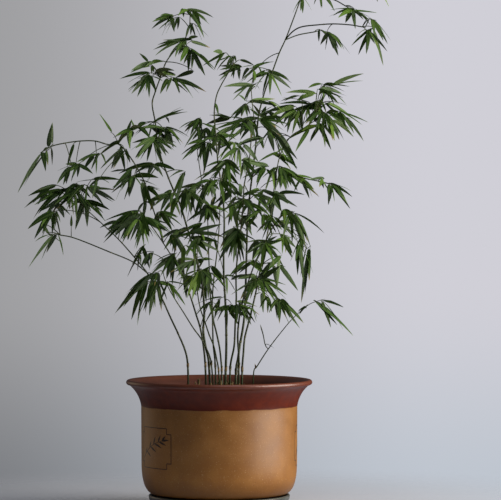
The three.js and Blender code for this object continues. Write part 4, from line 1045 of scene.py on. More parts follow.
def saucer_outline():
    """From the axis out under the saucer, up its flared wall, round the rolled edge and back in over
    the floor."""
    edge = SAUCER_WALL / 2
    crown = SAUCER_HEIGHT - edge
    outside = outline_of([0, 0], [[SAUCER_FLAT_RADIUS, 0], 8], [SAUCER_FLARE, 8, SAUCER_FOOT_BEND],
                         [[SAUCER_RADIUS, crown], 10, SAUCER_WALL_BEND])
    inside = outline_of([SAUCER_RADIUS - SAUCER_WALL, crown],
                        [[SAUCER_FLOOR_RADIUS, SAUCER_FLOOR], 10, SAUCER_INNER_BEND], [[0, SAUCER_FLOOR], 10])
    rim = arc((SAUCER_RADIUS - edge, crown), edge, 0, 180, 10)
    return np.vstack([outside, rim[1:], inside[1:]])


def soil_outline():
    """From the axis out over the pot's floor, up its wall, and back in over the crown."""
    inner = BODY_RADIUS - WALL - GAP
    floor = POT_FLOOR_UNDERSIDE + POT_FLOOR_THICKNESS + GAP
    return outline_of([0, floor], [[inner - SOIL_FLOOR_INSET, floor], 3],
                      [[inner - SOIL_HAUNCH_INSET, floor + SOIL_HAUNCH_RISE], 1],
                      [[inner, WALL_INSIDE_FOOT], 1], [[inner, WALL_INSIDE_TOP], 1],
                      [[inner + SOIL_EDGE_FLARE, SOIL_EDGE_HEIGHT], 1], [[0, SOIL_CROWN_HEIGHT], SOIL_RINGS])


def soil_top(x, y):
    """Height of the soil at x and y: the crown's slope, with lumps that fade at the wall. The lumps
    are waves of several lengths, each turned and shifted at random, added up."""
    draws = np.random.default_rng(SOIL_WAVE_SEED)
    lumps = np.zeros(np.broadcast(x, y).shape)
    for length in SOIL_WAVE_LENGTHS:
        turn = draws.uniform(0, 2 * np.pi)
        shift = draws.uniform(0, 2 * np.pi)
        phase = 2 * np.pi * (x * math.cos(turn) + y * math.sin(turn)) / length + shift
        lumps = lumps + SOIL_WAVE_HEIGHT * (length / SOIL_WAVE_MIDDLE) ** 0.5 * np.sin(phase)
    edge = BODY_RADIUS - WALL - GAP + SOIL_EDGE_FLARE
    share = np.clip(np.hypot(x, y) / edge, 0, 1)
    slope = SOIL_CROWN_HEIGHT + (SOIL_EDGE_HEIGHT - SOIL_CROWN_HEIGHT) * share
    return slope + lumps * np.clip((1 - share) * SOIL_EDGE_FADE, 0, 1)


def lumpy_soil():
    """The turned soil, with its top raised and lowered by the lumps."""
    soil = turned_from_axis(soil_outline())
    x, y, z = soil["verts"].T
    on_top = z > SOIL_EDGE_HEIGHT
    soil["verts"][on_top, 2] = soil_top(x[on_top], y[on_top])
    return soil


def lengths_along(line):
    return np.concatenate([[0], np.cumsum(np.linalg.norm(np.diff(line, axis=0), axis=1))])


def tube(line, radii, sides, slot=0, points=None):
    """Rings about a line of points, radius cos a across and radius sin a in front, closed by a point
    at each end. UV runs round the tube and along it in millimetres."""
    ahead = unit(np.gradient(line, axis=0))
    reference = np.eye(3)[np.argmin(np.abs(ahead).max(axis=0))]
    across = unit(np.cross(reference, ahead))
    front = np.cross(ahead, across)
    angle = 2 * np.pi * np.arange(sides) / sides
    spokes = across[:, None] * np.cos(angle)[:, None] + front[:, None] * np.sin(angle)[:, None]
    rings = line[:, None] + spokes * radii[:, None, None]
    ends = line[[0, -1]] + ahead[[0, -1]] * (radii[[0, -1]] * [-TUBE_END_RISE, TUBE_END_RISE])[:, None]
    length = lengths_along(line)
    uv = np.stack(np.broadcast_arrays(angle[None, :] * radii.mean(), length[:, None]), axis=-1)
    uv = np.vstack([uv.reshape(-1, 2), [[0, 0], [0, length[-1]]]])
    values = {}
    for key, value in (points or {}).items():
        value = np.broadcast_to(value, len(line))
        values[key] = np.concatenate([np.repeat(value, sides), value[[0, -1]]])
    return part(np.vstack([rings.reshape(-1, 3), ends]), grid_faces(len(line), sides, True),
                cap_faces(len(line), sides), slot, uv, values)


def closed_sheet(outer, inner, slot=0, uv=None, points=None):
    """A thin closed sheet between two grids of points, joined round their edges."""
    rows, columns = outer.shape[:2]
    faces = grid_faces(rows, columns, False)
    count = rows * columns
    number = np.arange(count).reshape(rows, columns)
    rims = []
    for edge in (number[0, ::-1], number[-1], number[:, 0], number[::-1, -1]):
        rims.append(np.stack([edge[:-1], edge[1:], edge[1:] + count, edge[:-1] + count], axis=-1))
    quads = np.vstack([faces, faces[:, ::-1] + count] + rims)
    verts = np.vstack([outer.reshape(-1, 3), inner.reshape(-1, 3)])
    doubled = None if uv is None else np.vstack([uv.reshape(-1, 2)] * 2)
    values = {key: np.tile(np.ravel(value), 2) for key, value in (points or {}).items()}
    return part(verts, quads, (), slot, doubled, values)


def smooth_line(points):
    """Fine steps along the uniform Catmull-Rom curve through points: on each span from p1 to p2,
    half of 2 p1 + (p2-p0) t + (2 p0-5 p1+4 p2-p3) t^2 + (3 p1-3 p2+p3-p0) t^3."""
    ends = np.vstack([2 * points[0] - points[1], points, 2 * points[-1] - points[-2]])
    p0, p1, p2, p3 = ends[:-3, None], ends[1:-2, None], ends[2:-1, None], ends[3:, None]
    t = np.linspace(0, 1, CURVE_STEPS, endpoint=False)[None, :, None]
    curve = p1 * 2 + (p2 - p0) * t + (2 * p0 - 5 * p1 + 4 * p2 - p3) * t ** 2
    curve = (curve + (3 * p1 - 3 * p2 + p3 - p0) * t ** 3) / 2
    return np.vstack([curve.reshape(-1, 3), points[-1:]])


def node_heights(total, seed):
    """Where a stem's nodes stand along it: every NODE_SPACING or so, the first sooner, and none near
    its tip."""
    draws = np.random.default_rng(seed)
    steps = NODE_SPACING * draws.uniform(*NODE_SPACING_SHARES, NODE_DRAWS)
    steps[0] *= FIRST_NODE_SHARE
    heights = CULM_DEPTH_IN_SOIL + np.cumsum(steps)
    return heights[heights < total - NODE_CLEAR_OF_TIP]


def stem(points, start_radius, end_radius, seed, sides):
    """A stem along its route, tapering evenly, with a swollen ring and a pale bloom under it at each
    node, and the points of its nodes."""
    fine = smooth_line(points)
    length = lengths_along(fine)
    nodes = node_heights(length[-1], seed)

    def at(places):
        return np.stack([np.interp(places, length, axis) for axis in fine.T], axis=-1)

    places = np.linspace(0, length[-1], max(2, round(length[-1] / CULM_STEP) + 1))
    places = np.unique(np.concatenate([places, (nodes[:, None] + NODE_RING_PLACES).ravel()]))
    share = places / length[-1]
    away = places[:, None] - nodes[None, :]
    ring = np.exp(-(away / NODE_RING_WIDTH) ** 2).sum(axis=1)
    bloom = np.exp(-((away + BLOOM_BELOW_NODE) / BLOOM_WIDTH) ** 2).sum(axis=1)
    radii = (start_radius + (end_radius - start_radius) * share) * (1 + NODE_SWELLING * ring)
    line = at(places)
    line = np.vstack([line, line[-1] + unit(line[-1] - line[-2]) * CULM_TIP_LENGTH])
    values = {"ring": np.append(ring, 0), "bloom": np.append(bloom, 0), "height": np.append(share, 1)}
    return tube(line, np.append(radii, CULM_TIP_RADIUS), sides, 0, values), at(nodes)


def twig_part(twig):
    """The twig's bend, the shoot and its tip, tapering. A twig without a shoot has one point less."""
    line = np.vstack([twig_line(twig, TWIG_STEPS)[:-1], twig["end"], twig["tip"]])
    if np.linalg.norm(twig["end"] - twig["foot"]) < 1:
        line = np.delete(line, -2, axis=0)
    radii = np.linspace(TWIG_SHOWN_DIAMETER, TWIG_SHOWN_TIP_DIAMETER, len(line)) / 2
    radii[-1] = TWIG_END_RADIUS
    return tube(line, radii, TWIG_SIDES, 0, {"height": 1.0})


def blades(leaves, draws):
    """Points and UV of all blades of a piece at once. A blade follows its midrib, straight ahead less
    a fall with the square of the place t. Its half width is scale s^rise (1-s)^fall of half the full
    width past a narrow stalk, its halves lift a little from the midrib and crown, and its edges wave."""
    count = len(leaves)
    t = LEAF_PLACES[None, :, None]
    root = np.array([leaf["root"] for leaf in leaves])[:, None]
    straight = np.array([direction(*leaf["aim"]) for leaf in leaves])[:, None]
    length, width, droop, roll = (np.array([leaf[key] for leaf in leaves])[:, None, None]
                                  for key in ("length", "width", "droop", "roll"))
    fall = straight * straight[..., 2:] - UP
    middle = root + straight * length * t + fall * length * droop * t * t
    ahead = unit(straight + fall * 2 * droop * t)
    level = unit(np.cross(straight, UP))
    twist = roll + draws.uniform(-LEAF_TWIST, LEAF_TWIST, (count, 1, 1)) * t
    across = level * np.cos(twist) + np.cross(ahead, level) * np.sin(twist)
    under = np.cross(ahead, across)
    s = np.clip((t - PETIOLE_SHARE) / (1 - PETIOLE_SHARE), 0, 1)
    half = np.maximum(breadths(BLADE_OUTLINE, s) * width / 2, PETIOLE_HALF_WIDTH)
    wave = draws.uniform(*LEAF_WAVE, (count, 1, 1)) * np.sin(2 * np.pi * (
        draws.uniform(*LEAF_WAVE_TURNS, (count, 1, 1)) * t + draws.uniform(0, 1, (count, 1, 1))))
    thick = LEAF_THICKNESS * np.clip(half / 2, LEAF_LEAST_THICKNESS, 1)
    lift = np.abs(LEAF_SIDES) * LEAF_LIFT * (1 - t) + LEAF_SIDES * wave
    lift = lift + LEAF_CROWN * (np.abs(LEAF_SIDES) == 0.5)
    down = half * lift - thick * MIDRIB_UNDERSIDE
    verts = (middle[:, :, None] + across[:, :, None] * (half * LEAF_SIDES)[..., None]
             - under[:, :, None] * down[..., None])
    tip = root + straight * length + fall * length * droop
    verts = np.concatenate([verts.reshape(count, -1, 3), root - straight * PETIOLE_START, tip], axis=1)
    uv = np.stack(np.broadcast_arrays(half * LEAF_SIDES, length * t), axis=-1).reshape(count, -1, 2)
    ends = np.zeros((count, 2, 2))
    ends[:, 1, 1] = length[:, 0, 0]
    return verts, np.concatenate([uv, ends], axis=1)


def leaf_tints(leaves, draws):
    """A leaf's tint adds up from its spray's, its own, and painted light: yellower the further it stands to
    the right, towards the window.
    """
    of_sprays = np.random.default_rng(TINT_SEED).uniform(0, 1, TINT_DRAWS)
    tints = SPRAY_TINT * of_sprays[[leaf["spray"] for leaf in leaves]]
    # painted light: leaves to the right are tinted yellower, as if lit more by the window
    painted_light = np.clip(np.array([leaf["root"][0] for leaf in leaves]) / PAINTED_LIGHT_REACH, 0, 1)
    return tints + OWN_TINT * draws.uniform(0, 1, len(leaves)) + PAINTED_LIGHT_TINT * painted_light


def leaf_parts(leaves, slot, seed):
    """The leaves of a piece, with values for their tint, their dry tips and their undersides."""
    draws = np.random.default_rng(seed)
    count, rings, sides = len(leaves), len(LEAF_PLACES), len(LEAF_SIDES)
    points = rings * sides + 2
    verts, uv = blades(leaves, draws)
    shift = (np.arange(count) * points)[:, None, None]
    tints = leaf_tints(leaves, draws)
    place = np.concatenate([np.repeat(LEAF_PLACES, sides), [0, 1]])
    dry = np.clip((place - draws.uniform(*DRY_START, (count, 1))) * DRY_FADE, 0, 1)
    # the underside's faces are the first two of every ring, and of the caps at both ends
    back = np.tile(np.isin(np.arange(sides), (0, 1)), (rings + 1) * count)
    return part(verts, grid_faces(rings, sides, True) + shift, cap_faces(rings, sides) + shift, slot, uv,
                {"tint": np.repeat(tints, points), "dry": dry.ravel()}, back.astype(float))


def sheath(draws, foot, ahead, radius, length, kind, slot):
    """A papery sheath: a sheet wrapped part of the way round a stem, standing off it by a flare that
    grows with the square of the height, and cut to a point opposite its opening."""
    turn = draws.uniform(0, 2 * np.pi)
    flare = draws.uniform(*kind["flare"])
    wrap = draws.uniform(*kind["wrap"])
    across = unit(np.cross(np.array([0.0, 1.0, 0.0]), ahead))
    front = np.cross(ahead, across)
    around = np.linspace(-1, 1, SHEATH_COLUMNS)[None, :, None]
    up = np.linspace(0, 1, SHEATH_ROWS)[:, None, None]
    reach = length * up * (1 - SHEATH_CUT * np.abs(around) ** SHEATH_CUT_POWER)
    angle = turn + around * wrap
    spokes = across * np.cos(angle) + front * np.sin(angle)
    out = radius + SHEATH_GAP + flare * up ** 2 * (1 - SHEATH_EDGE_FLARE * np.abs(around))
    outer = foot + ahead * reach + spokes * out
    inner = foot + ahead * reach + spokes * (out - SHEATH_THICKNESS)
    uv = np.concatenate(np.broadcast_arrays(around * radius * wrap, reach), axis=-1)
    fade = np.broadcast_to(up, outer.shape[:2] + (1,))
    return closed_sheet(outer, inner, slot, uv, {"place": fade})


def foot_sheaths(culm, radius, nodes, seed, slot):
    """Dry sheaths at a culm's foot and a short close one at its lowest node."""
    draws = np.random.default_rng(seed)
    ahead = -culm["down"]
    at_soil = culm["foot"] + ahead * (CULM_DEPTH_IN_SOIL - FOOT_SHEATH_DEPTH)
    sheets = []
    for _ in range(FOOT_SHEATHS):
        length = draws.uniform(*FOOT_SHEATH["length"])
        width = radius * draws.uniform(*FOOT_SHEATH_WIDTH)
        sheets.append(sheath(draws, at_soil, ahead, width, length, FOOT_SHEATH, slot))
    length = draws.uniform(*NODE_SHEATH["length"])
    sheets.append(sheath(draws, nodes[0], ahead, radius, length, NODE_SHEATH, slot))
    return sheets


def dead_stubs():
    """Cut and broken old culms round the clump's foot: short leaning tubes with ragged sheaths."""
    draws = np.random.default_rng(STUB_SEED)
    stubs = []
    for _ in range(STUB_COUNT):
        x, y = (draws.normal(middle, spread) for middle, spread in zip(STUB_MIDDLE, STUB_SPREAD))
        ahead = unit(np.array([draws.normal(0, STUB_LEAN), draws.normal(0, STUB_LEAN), 1.0]))
        foot = np.array([x, y, SOIL_CROWN_HEIGHT - STUB_DEPTH])
        length = draws.uniform(*STUB_LENGTH)
        radius = draws.uniform(*STUB_RADIUS)
        line = foot + ahead * np.linspace(0, length, len(STUB_TAPER))[:, None]
        values = {"place": np.linspace(0, 1, len(STUB_TAPER))}
        stubs.append(tube(line, radius * STUB_TAPER, STUB_SIDES, 0, values))
        length *= draws.uniform(*STUB_SHEATH["length"])
        stubs.append(sheath(draws, foot, ahead, radius, length, STUB_SHEATH, 0))
    return stubs


def wall_radius(height):
    """The pot's outer radius at a height, from its outline between the foot and the lip."""
    outline = pot_outline()
    outside = outline[(outline[:, 0] > SHOULDER[0]) & (outline[:, 1] < RIM_HEIGHT)]
    rising = outside[:np.argmax(outside[:, 1])]
    return np.interp(height, rising[:, 1], rising[:, 0])


def stroke(path, widths, turn_degrees):
    """A brush stroke along a path of the unrolled panel: the path plus and minus half its width to
    either side, wrapped round the wall and raised a little off it."""
    ahead = unit(np.gradient(path, axis=0))
    beside = np.stack([ahead[:, 1], -ahead[:, 0]], axis=-1)
    half = np.broadcast_to(widths, len(path))[:, None, None] / 2
    flat = path[:, None] + beside[:, None] * half * np.array([-1.0, 0.0, 1.0])[None, :, None]
    height = PANEL_HEIGHT + flat[..., 1]
    wall = wall_radius(height)
    angle = math.radians(turn_degrees) + flat[..., 0] / wall_radius(PANEL_HEIGHT)

    def raised(out):
        return np.stack([(wall + out) * np.sin(angle), -(wall + out) * np.cos(angle), height], axis=-1)

    return closed_sheet(raised(STROKE_PROUD), raised(-STROKE_SUNK), uv=flat)


def branch_at(t):
    """The branch's points: straight from its start to its end, and an arch of a sine above that."""
    t = np.asarray(t, float)[..., None]
    return BRANCH_START + (BRANCH_END - BRANCH_START) * t + np.array([0, BRANCH_ARCH]) * np.sin(np.pi * t)


def brush_leaf(place, turn_degrees, length):
    """A leaf stroke's path and widths at places t from 0 to 1: a straight run that falls a little with
    the square of t, and whose width swells as the sine of pi (start + span t^power), to points."""
    start, span, power = BRANCH_LEAF_SWELLING
    along = BRANCH_END - BRANCH_START
    turn = math.radians(turn_degrees) + math.atan2(along[1], along[0])
    t = np.linspace(0, 1, BRANCH_LEAF_POINTS)[:, None]
    path = branch_at(place) + t * length * np.array([math.cos(turn), math.sin(turn)])
    path[:, 1] -= (t[:, 0] ** 2) * length * BRANCH_LEAF_FALL
    return path, BRANCH_LEAF_WIDTH * np.sin(np.pi * (start + span * t[:, 0] ** power))


def panel_strokes(turn_degrees):
    """The frame's runs, with its four corners stepped in, and the branch with its leaves."""
    w, h, c = PANEL_HALF_WIDTH, PANEL_HALF_HEIGHT, PANEL_CORNER
    runs = []
    for x in (-1, 1):
        runs.append([(x * w, -h + c), (x * w, h - c)])
        for y in (-1, 1):
            runs.append([(x * w, y * (h - c)), (x * (w - c), y * (h - c))])
            runs.append([(x * (w - c), y * (h - c)), (x * (w - c), y * h)])
    runs += [[(-w + c, y * h), (w - c, y * h)] for y in (-1, 1)]
    t = np.linspace(0, 1, BRANCH_POINTS)
    lines = [(np.linspace(start, end, LINE_POINTS), LINE_WIDTH) for start, end in runs]
    lines.append((branch_at(t), BRANCH_WIDTH + (BRANCH_TIP_WIDTH - BRANCH_WIDTH) * t))
    lines += [brush_leaf(*leaf) for leaf in BRANCH_LEAVES]
    return [stroke(path, widths, turn_degrees) for path, widths in lines]


def icosahedron():
    """The twelve corners of an icosahedron of radius 1 and its twenty faces: three corners make one
    where they lie next to each other, which is 1.05 apart."""
    gold = (1 + math.sqrt(5)) / 2
    corners = []
    for a in (-1, 1):
        for b in (-gold, gold):
            corners += [(0, a, b), (a, b, 0), (b, 0, a)]
    corners = unit(np.array(corners, float))
    faces = []
    for i, j, k in itertools.combinations(range(12), 3):
        a, b, c = corners[[i, j, k]]
        if max(math.dist(a, b), math.dist(b, c), math.dist(a, c)) < 1.1:
            faces.append((i, j, k) if np.dot(np.cross(b - a, c - a), a) > 0 else (i, k, j))
    return corners, np.array(faces)


def turning(angles):
    """Rotation matrices from three angles each, about X, then Y, then Z."""
    cx, cy, cz = np.cos(angles).T
    sx, sy, sz = np.sin(angles).T
    rows = [
        [cy * cz, sx * sy * cz - cx * sz, cx * sy * cz + sx * sz],
        [cy * sz, sx * sy * sz + cx * cz, cx * sy * sz - sx * cz],
        [-sy, sx * cy, cx * cy],
    ]
    return np.array(rows).transpose(2, 0, 1)


def bark_chips():
    """Chips of bark half sunk in the soil: icosahedra with seeded dents, flattened and turned."""
    draws = np.random.default_rng(CHIP_SEED)
    corners, faces = icosahedron()
    count, points = CHIP_COUNT, len(corners)
    away = (BODY_RADIUS - WALL - CHIP_INSET) * np.sqrt(draws.uniform(0, 1, count))
    angle = draws.uniform(0, 2 * np.pi, count)
    x, y = away * np.cos(angle), away * np.sin(angle)
    size = CHIP_SIZE + CHIP_SIZE_GAIN * draws.uniform(0, 1, count) ** 3
    scale = np.stack([size * draws.uniform(*pair, count) for pair in CHIP_PROPORTIONS], axis=-1)
    shapes = corners[None] * draws.uniform(*CHIP_DENTS, (count, points, 1)) * scale[:, None]
    tilt = draws.uniform(-1, 1, (count, 3)) * CHIP_TILTS
    shapes = np.einsum("nij,nkj->nki", turning(tilt), shapes)
    middle = np.stack([x, y, soil_top(x, y) + size * CHIP_LIFT], axis=-1)
    tris = faces[None] + points * np.arange(count)[:, None, None]
    return part(shapes + middle[:, None], (), tris,
                points={"tint": np.repeat(draws.uniform(0, 1, count), points)})


def leaf_litter():
    """Dry leaves fallen on the soil: narrow sheets curled along and across. At a place t from 0 to 1
    the width is a power of the sine of pi (start + span t), which leaves points at both ends."""
    draws = np.random.default_rng(LITTER_SEED)
    start, span, power = LITTER_OUTLINE
    t = np.linspace(0, 1, LITTER_ROWS)[:, None]
    u = np.linspace(-1, 1, LITTER_COLUMNS)[None, :]
    sheets = []
    for _ in range(LITTER_COUNT):
        away = (BODY_RADIUS - WALL - LITTER_INSET) * math.sqrt(draws.uniform(*LITTER_SPREAD))
        angle = draws.uniform(0, 2 * np.pi)
        turn = draws.uniform(0, 2 * np.pi)
        length = draws.uniform(*LITTER_LENGTH)
        half = draws.uniform(*LITTER_WIDTH) / 2 * np.sin(np.pi * (start + span * t)) ** power
        ahead = (t - 0.5) * length + 0 * u
        beside = u * half
        x = away * math.cos(angle) + ahead * math.cos(turn) - beside * math.sin(turn)
        y = away * math.sin(angle) + ahead * math.sin(turn) + beside * math.cos(turn)
        inside = np.minimum(1, (BODY_RADIUS - WALL - LITTER_EDGE_INSET) / np.hypot(x, y).max())
        x, y = x * inside, y * inside
        curl = draws.uniform(*LITTER_CURL) * u * u * half
        arch = draws.uniform(0, LITTER_ARCH) * (2 * t - 1) ** 2
        top = np.stack([x, y, soil_top(x, y) + LITTER_LIFT + curl + arch], axis=-1)
        # rows run along the leaf and columns across to its left, so the sheet's outer side is below
        sheets.append(closed_sheet(top - UP * LITTER_THICKNESS, top, 0, np.stack([beside, ahead], axis=-1),
                                   {"place": np.full(ahead.shape, draws.uniform(*LITTER_PALENESS))}))
    return sheets


def linear(code):
    """An sRGB hex colour as linear red, green, blue and an alpha of 1."""
    shades = [int(code[i:i + 2], 16) / 255 for i in (1, 3, 5)]
    return [s / 12.92 if s <= 0.04045 else ((s + 0.055) / 1.055) ** 2.4 for s in shades] + [1.0]


def add(tree, kind, *values, out=None, stops=None, **named):
    """Adds a node and returns its output of the name out, or else the first that it shows. The values
    go to the inputs that it shows, in order, and the named ones to the input or else the property of
    that name, with _ for a space. A value is a number, a colour's hex code, or the output that is
    linked there. Stops are a colour ramp's places and colours."""
    node = tree.nodes.new("ShaderNode" + kind)
    inputs = []
    for name, value in named.items():
        if name.replace("_", " ") in node.inputs:
            inputs.append((node.inputs[name.replace("_", " ")], value))
        else:
            setattr(node, name, value)
    inputs += zip([socket for socket in node.inputs if socket.enabled], values)
    for socket, value in inputs:
        if isinstance(value, bpy.types.NodeSocket):
            tree.links.new(value, socket)
        else:
            socket.default_value = linear(value) if isinstance(value, str) else value
    if stops:
        elements = node.color_ramp.elements
        while len(elements) < len(stops):
            elements.new(0.5)
        for element, (place, code) in zip(elements, stops.items()):
            element.position = place
            element.color = linear(code)
    if out:
        return node.outputs[out]
    return next((socket for socket in node.outputs if socket.enabled), None)


def every(millimetres):
    """A texture's scale for a pattern of that size: how many of them go to a metre."""
    return 1 / (millimetres * METRES)


def start_material(name):
    """An empty material, and add for its tree."""
    material = bpy.data.materials.new(name)
    material.use_nodes = True
    material.node_tree.nodes.clear()
    return material, functools.partial(add, material.node_tree)


def stained(node, colour, *stains):
    """Lays stains over a colour in turn. A stain is a value, the two values of it from which and to
    which the stain comes in, its full share, and its colour."""
    for value, first, last, share, stain in stains:
        factor = node("MapRange", value, first, last, 0.0, share)
        colour = node("Mix", factor, colour, stain, data_type="RGBA")
    return colour


def finish_material(material, node, colour, rough, relief, strength, depth, **more):
    """An opaque surface of that colour and roughness, with relief of a depth in metres."""
    bump = node("Bump", Height=relief, Strength=strength, Distance=depth)
    surface = node("BsdfPrincipled", Base_Color=colour, Roughness=rough, Normal=bump, **more)
    node("OutputMaterial", surface)
    return material


def glazed_stoneware():
    """Glazed stoneware, thrown and dipped twice: a glossy iron red over the rim and neck, a satin
    ochre below it. The eye gets a sharp, slightly uneven line between them, soft cloudy mottling with
    pale and dark flecks in the ochre, faint throwing rings, and a bare dark foot."""
    material, node = start_material("glazed stoneware, iron red over ochre")
    place = node("TexCoord", out="Object")
    height = node("SeparateXYZ", place, out="Z")
    # clouds of about 30 mm in the ochre and of 12 mm in the red
    clouds = node("TexNoise", Vector=place, Scale=every(30.3), Detail=4.0)
    small = node("TexNoise", Vector=place, Scale=every(11.76), Detail=3.0)
    # flecks under 1 mm wide, drawn a little coarse so that they show, and a darker foot
    flecks = node("TexNoise", Vector=place, Scale=every(1.613), Detail=1.0)
    ochre = node("ValToRGB", clouds, stops={0.3: "#8f5c20", 0.5: "#986424", 0.7: "#a26d2c"})
    ochre = stained(node, ochre, (flecks, 0.66, 0.74, 0.5, "#c9a878"), (flecks, 0.33, 0.25, 0.55, "#5a3716"),
                    (height, 0.055, 0.028, 0.75, "#5c3a1a"))
    # the line between the two wanders 1 or 2 mm up and down, over some 40 mm
    edge = node("TexNoise", Vector=place, Scale=every(41.67), Detail=3.0)
    wander = node("Math", edge, 0.005, -0.0025, operation="MULTIPLY_ADD")
    moved = node("Math", height, wander, operation="ADD")
    # the red breaks thinner and browner over the lip's crest, spread down the lip as a painted highlight;
    # inside it is painted browner and greyer, painted window light on the inner wall; and it pools above the
    # line
    red = node("ValToRGB", small, stops={0.32: "#5a1b05", 0.55: "#642007", 0.75: "#6f2609"})
    inside = node("Attribute", attribute_name="inside", out="Fac")
    # of these stains, the inside's is painted light and the crest's is partly a painted highlight; the
    # pooling above the line is the glaze's own
    red = stained(node, red, (inside, 0.0, 1.0, 0.6, "#5c3f33"), (height, 0.198, 0.205, 0.5, "#83492b"),
                  (moved, 0.17, 0.1655, 0.3, "#35110f"))
    dipped = node("MapRange", moved, 0.1648, 0.1658)
    bare = node("MapRange", moved, 0.0262, 0.0252)
    colour = node("Mix", bare, node("Mix", dipped, ochre, red, data_type="RGBA"), "#2a120c", data_type="RGBA")
    rough = node("Mix", dipped, node("MapRange", clouds, 0.3, 0.7, 0.42, 0.5), 0.38)
    # throwing rings 10 mm apart, and a fine skin
    rings = node("TexWave", Vector=place, Scale=WAVE_LENGTH * every(10.134), Distortion=1.2, Detail=1.0,
                 bands_direction="Z", out="Fac")
    relief = node("Math", rings, 0.2, small, operation="MULTIPLY_ADD")
    # the red is dull down the neck, where it pooled, and glossier over the lip
    gloss = node("Mix", dipped, node("MapRange", height, 0.03, 0.09, 0.25, 0.72),
                 node("MapRange", height, 0.192, 0.203, 0.28, 0.9))
    return finish_material(material, node, colour, node("Mix", bare, rough, 0.7), relief, 0.25, 0.0006,
                           IOR=1.52, Specular_IOR_Level=gloss)


def slate_glaze():
    """Stoneware saucer under a dark slate glaze, turned and dipped. The eye gets a cool grey-green
    that is paler where the glaze thins over the edge."""
    material, node = start_material("slate-glazed stoneware")
    place = node("TexCoord", out="Object")
    height = node("SeparateXYZ", place, out="Z")
    # clouds of about 17 mm
    clouds = node("TexNoise", Vector=place, Scale=every(16.67), Detail=4.0)
    colour = node("ValToRGB", clouds, stops={0.3: "#373b36", 0.55: "#474b48", 0.75: "#585c58"})
    colour = stained(node, colour, (height, 0.0205, 0.0235, 0.5, "#75756c"))
    rough = node("MapRange", clouds, 0.3, 0.7, 0.26, 0.4)
    return finish_material(material, node, colour, rough, clouds, 0.2, 0.0005, IOR=1.5)


def brushed_iron_glaze():
    """Iron glaze brushed over the ochre: near black strokes with a dull shine, browner where thin."""
    material, node = start_material("brushed iron glaze")
    # patches of about 4 mm where the brush left less
    load = node("TexNoise", Vector=node("TexCoord", out="Object"), Scale=every(3.846), Detail=2.0)
    colour = node("ValToRGB", load, stops={0.35: "#1c0e06", 0.7: "#3a200e"})
    node("OutputMaterial", node("BsdfPrincipled", Base_Color=colour, Roughness=0.4))
    return material


def potting_mix():
    """Moist potting mix of peat and fine bark, tamped by watering: dark crumbs of 2 to 6 mm with dull
    brown fibres between them and no shine."""
    material, node = start_material("peat and bark potting mix")
    place = node("TexCoord", out="Object")
    crumbs = node("TexVoronoi", Vector=place, Scale=every(3.846), Randomness=1.0)
    grain = node("TexNoise", Vector=place, Scale=every(2.381), Detail=5.0)
    # damp patches of about 22 mm
    patches = node("TexNoise", Vector=place, Scale=every(22.22), Detail=3.0)
    colour = node("ValToRGB", grain,
                  stops={0.3: "#1a110b", 0.5: "#2d1f15", 0.66: "#44301f", 0.74: "#6b5036"})
    colour = stained(node, colour, (patches, 0.4, 0.65, 0.6, "#1c130d"))
    relief = node("Math", crumbs, grain, operation="ADD")
    return finish_material(material, node, colour, 0.92, relief, 0.9, 0.0016, Specular_IOR_Level=0.25)


def pine_bark():
    """Chipped pine bark, weathered: red-brown to grey flakes with a dry, uneven surface."""
    material, node = start_material("chipped pine bark")
    tint = node("Attribute", attribute_name="tint", out="Fac")
    # a grain of 2 mm
    grain = node("TexNoise", Vector=node("TexCoord", out="Object"), Scale=every(2), Detail=4.0)
    colour = node("ValToRGB", tint, stops={0.0: "#20140d", 0.45: "#3b2517", 0.8: "#5e4129", 1.0: "#8a7358"})
    colour = node("Mix", grain, colour, "#1d120b", data_type="RGBA")
    return finish_material(material, node, colour, 0.85, grain, 0.6, 0.0008, Specular_IOR_Level=0.3)


def bamboo_stem():
    """Living bamboo cane: a dark olive green that yellows a little with height, with a waxy satin
    skin, a pale ring at each node and a chalky bloom just under it."""
    material, node = start_material("living bamboo cane")
    height, ring, bloom = (node("Attribute", attribute_name=name, out="Fac")
                           for name in ("height", "ring", "bloom"))
    # streaks of about 17 mm
    streaks = node("TexNoise", Vector=node("TexCoord", out="Object"), Scale=every(16.67), Detail=3.0)
    green = node("ValToRGB", streaks, stops={0.3: "#1f2a12", 0.55: "#2f3d18", 0.75: "#414c1e"})
    colour = stained(node, green, (height, 0.0, 1.0, 0.5, "#4c5a24"), (bloom, 0.0, 1.0, 0.45, "#8d957c"),
                     (ring, 0.3, 1.0, 0.8, "#9a8f62"))
    node("OutputMaterial", node("BsdfPrincipled", Base_Color=colour, Roughness=0.38, IOR=1.45))
    return material


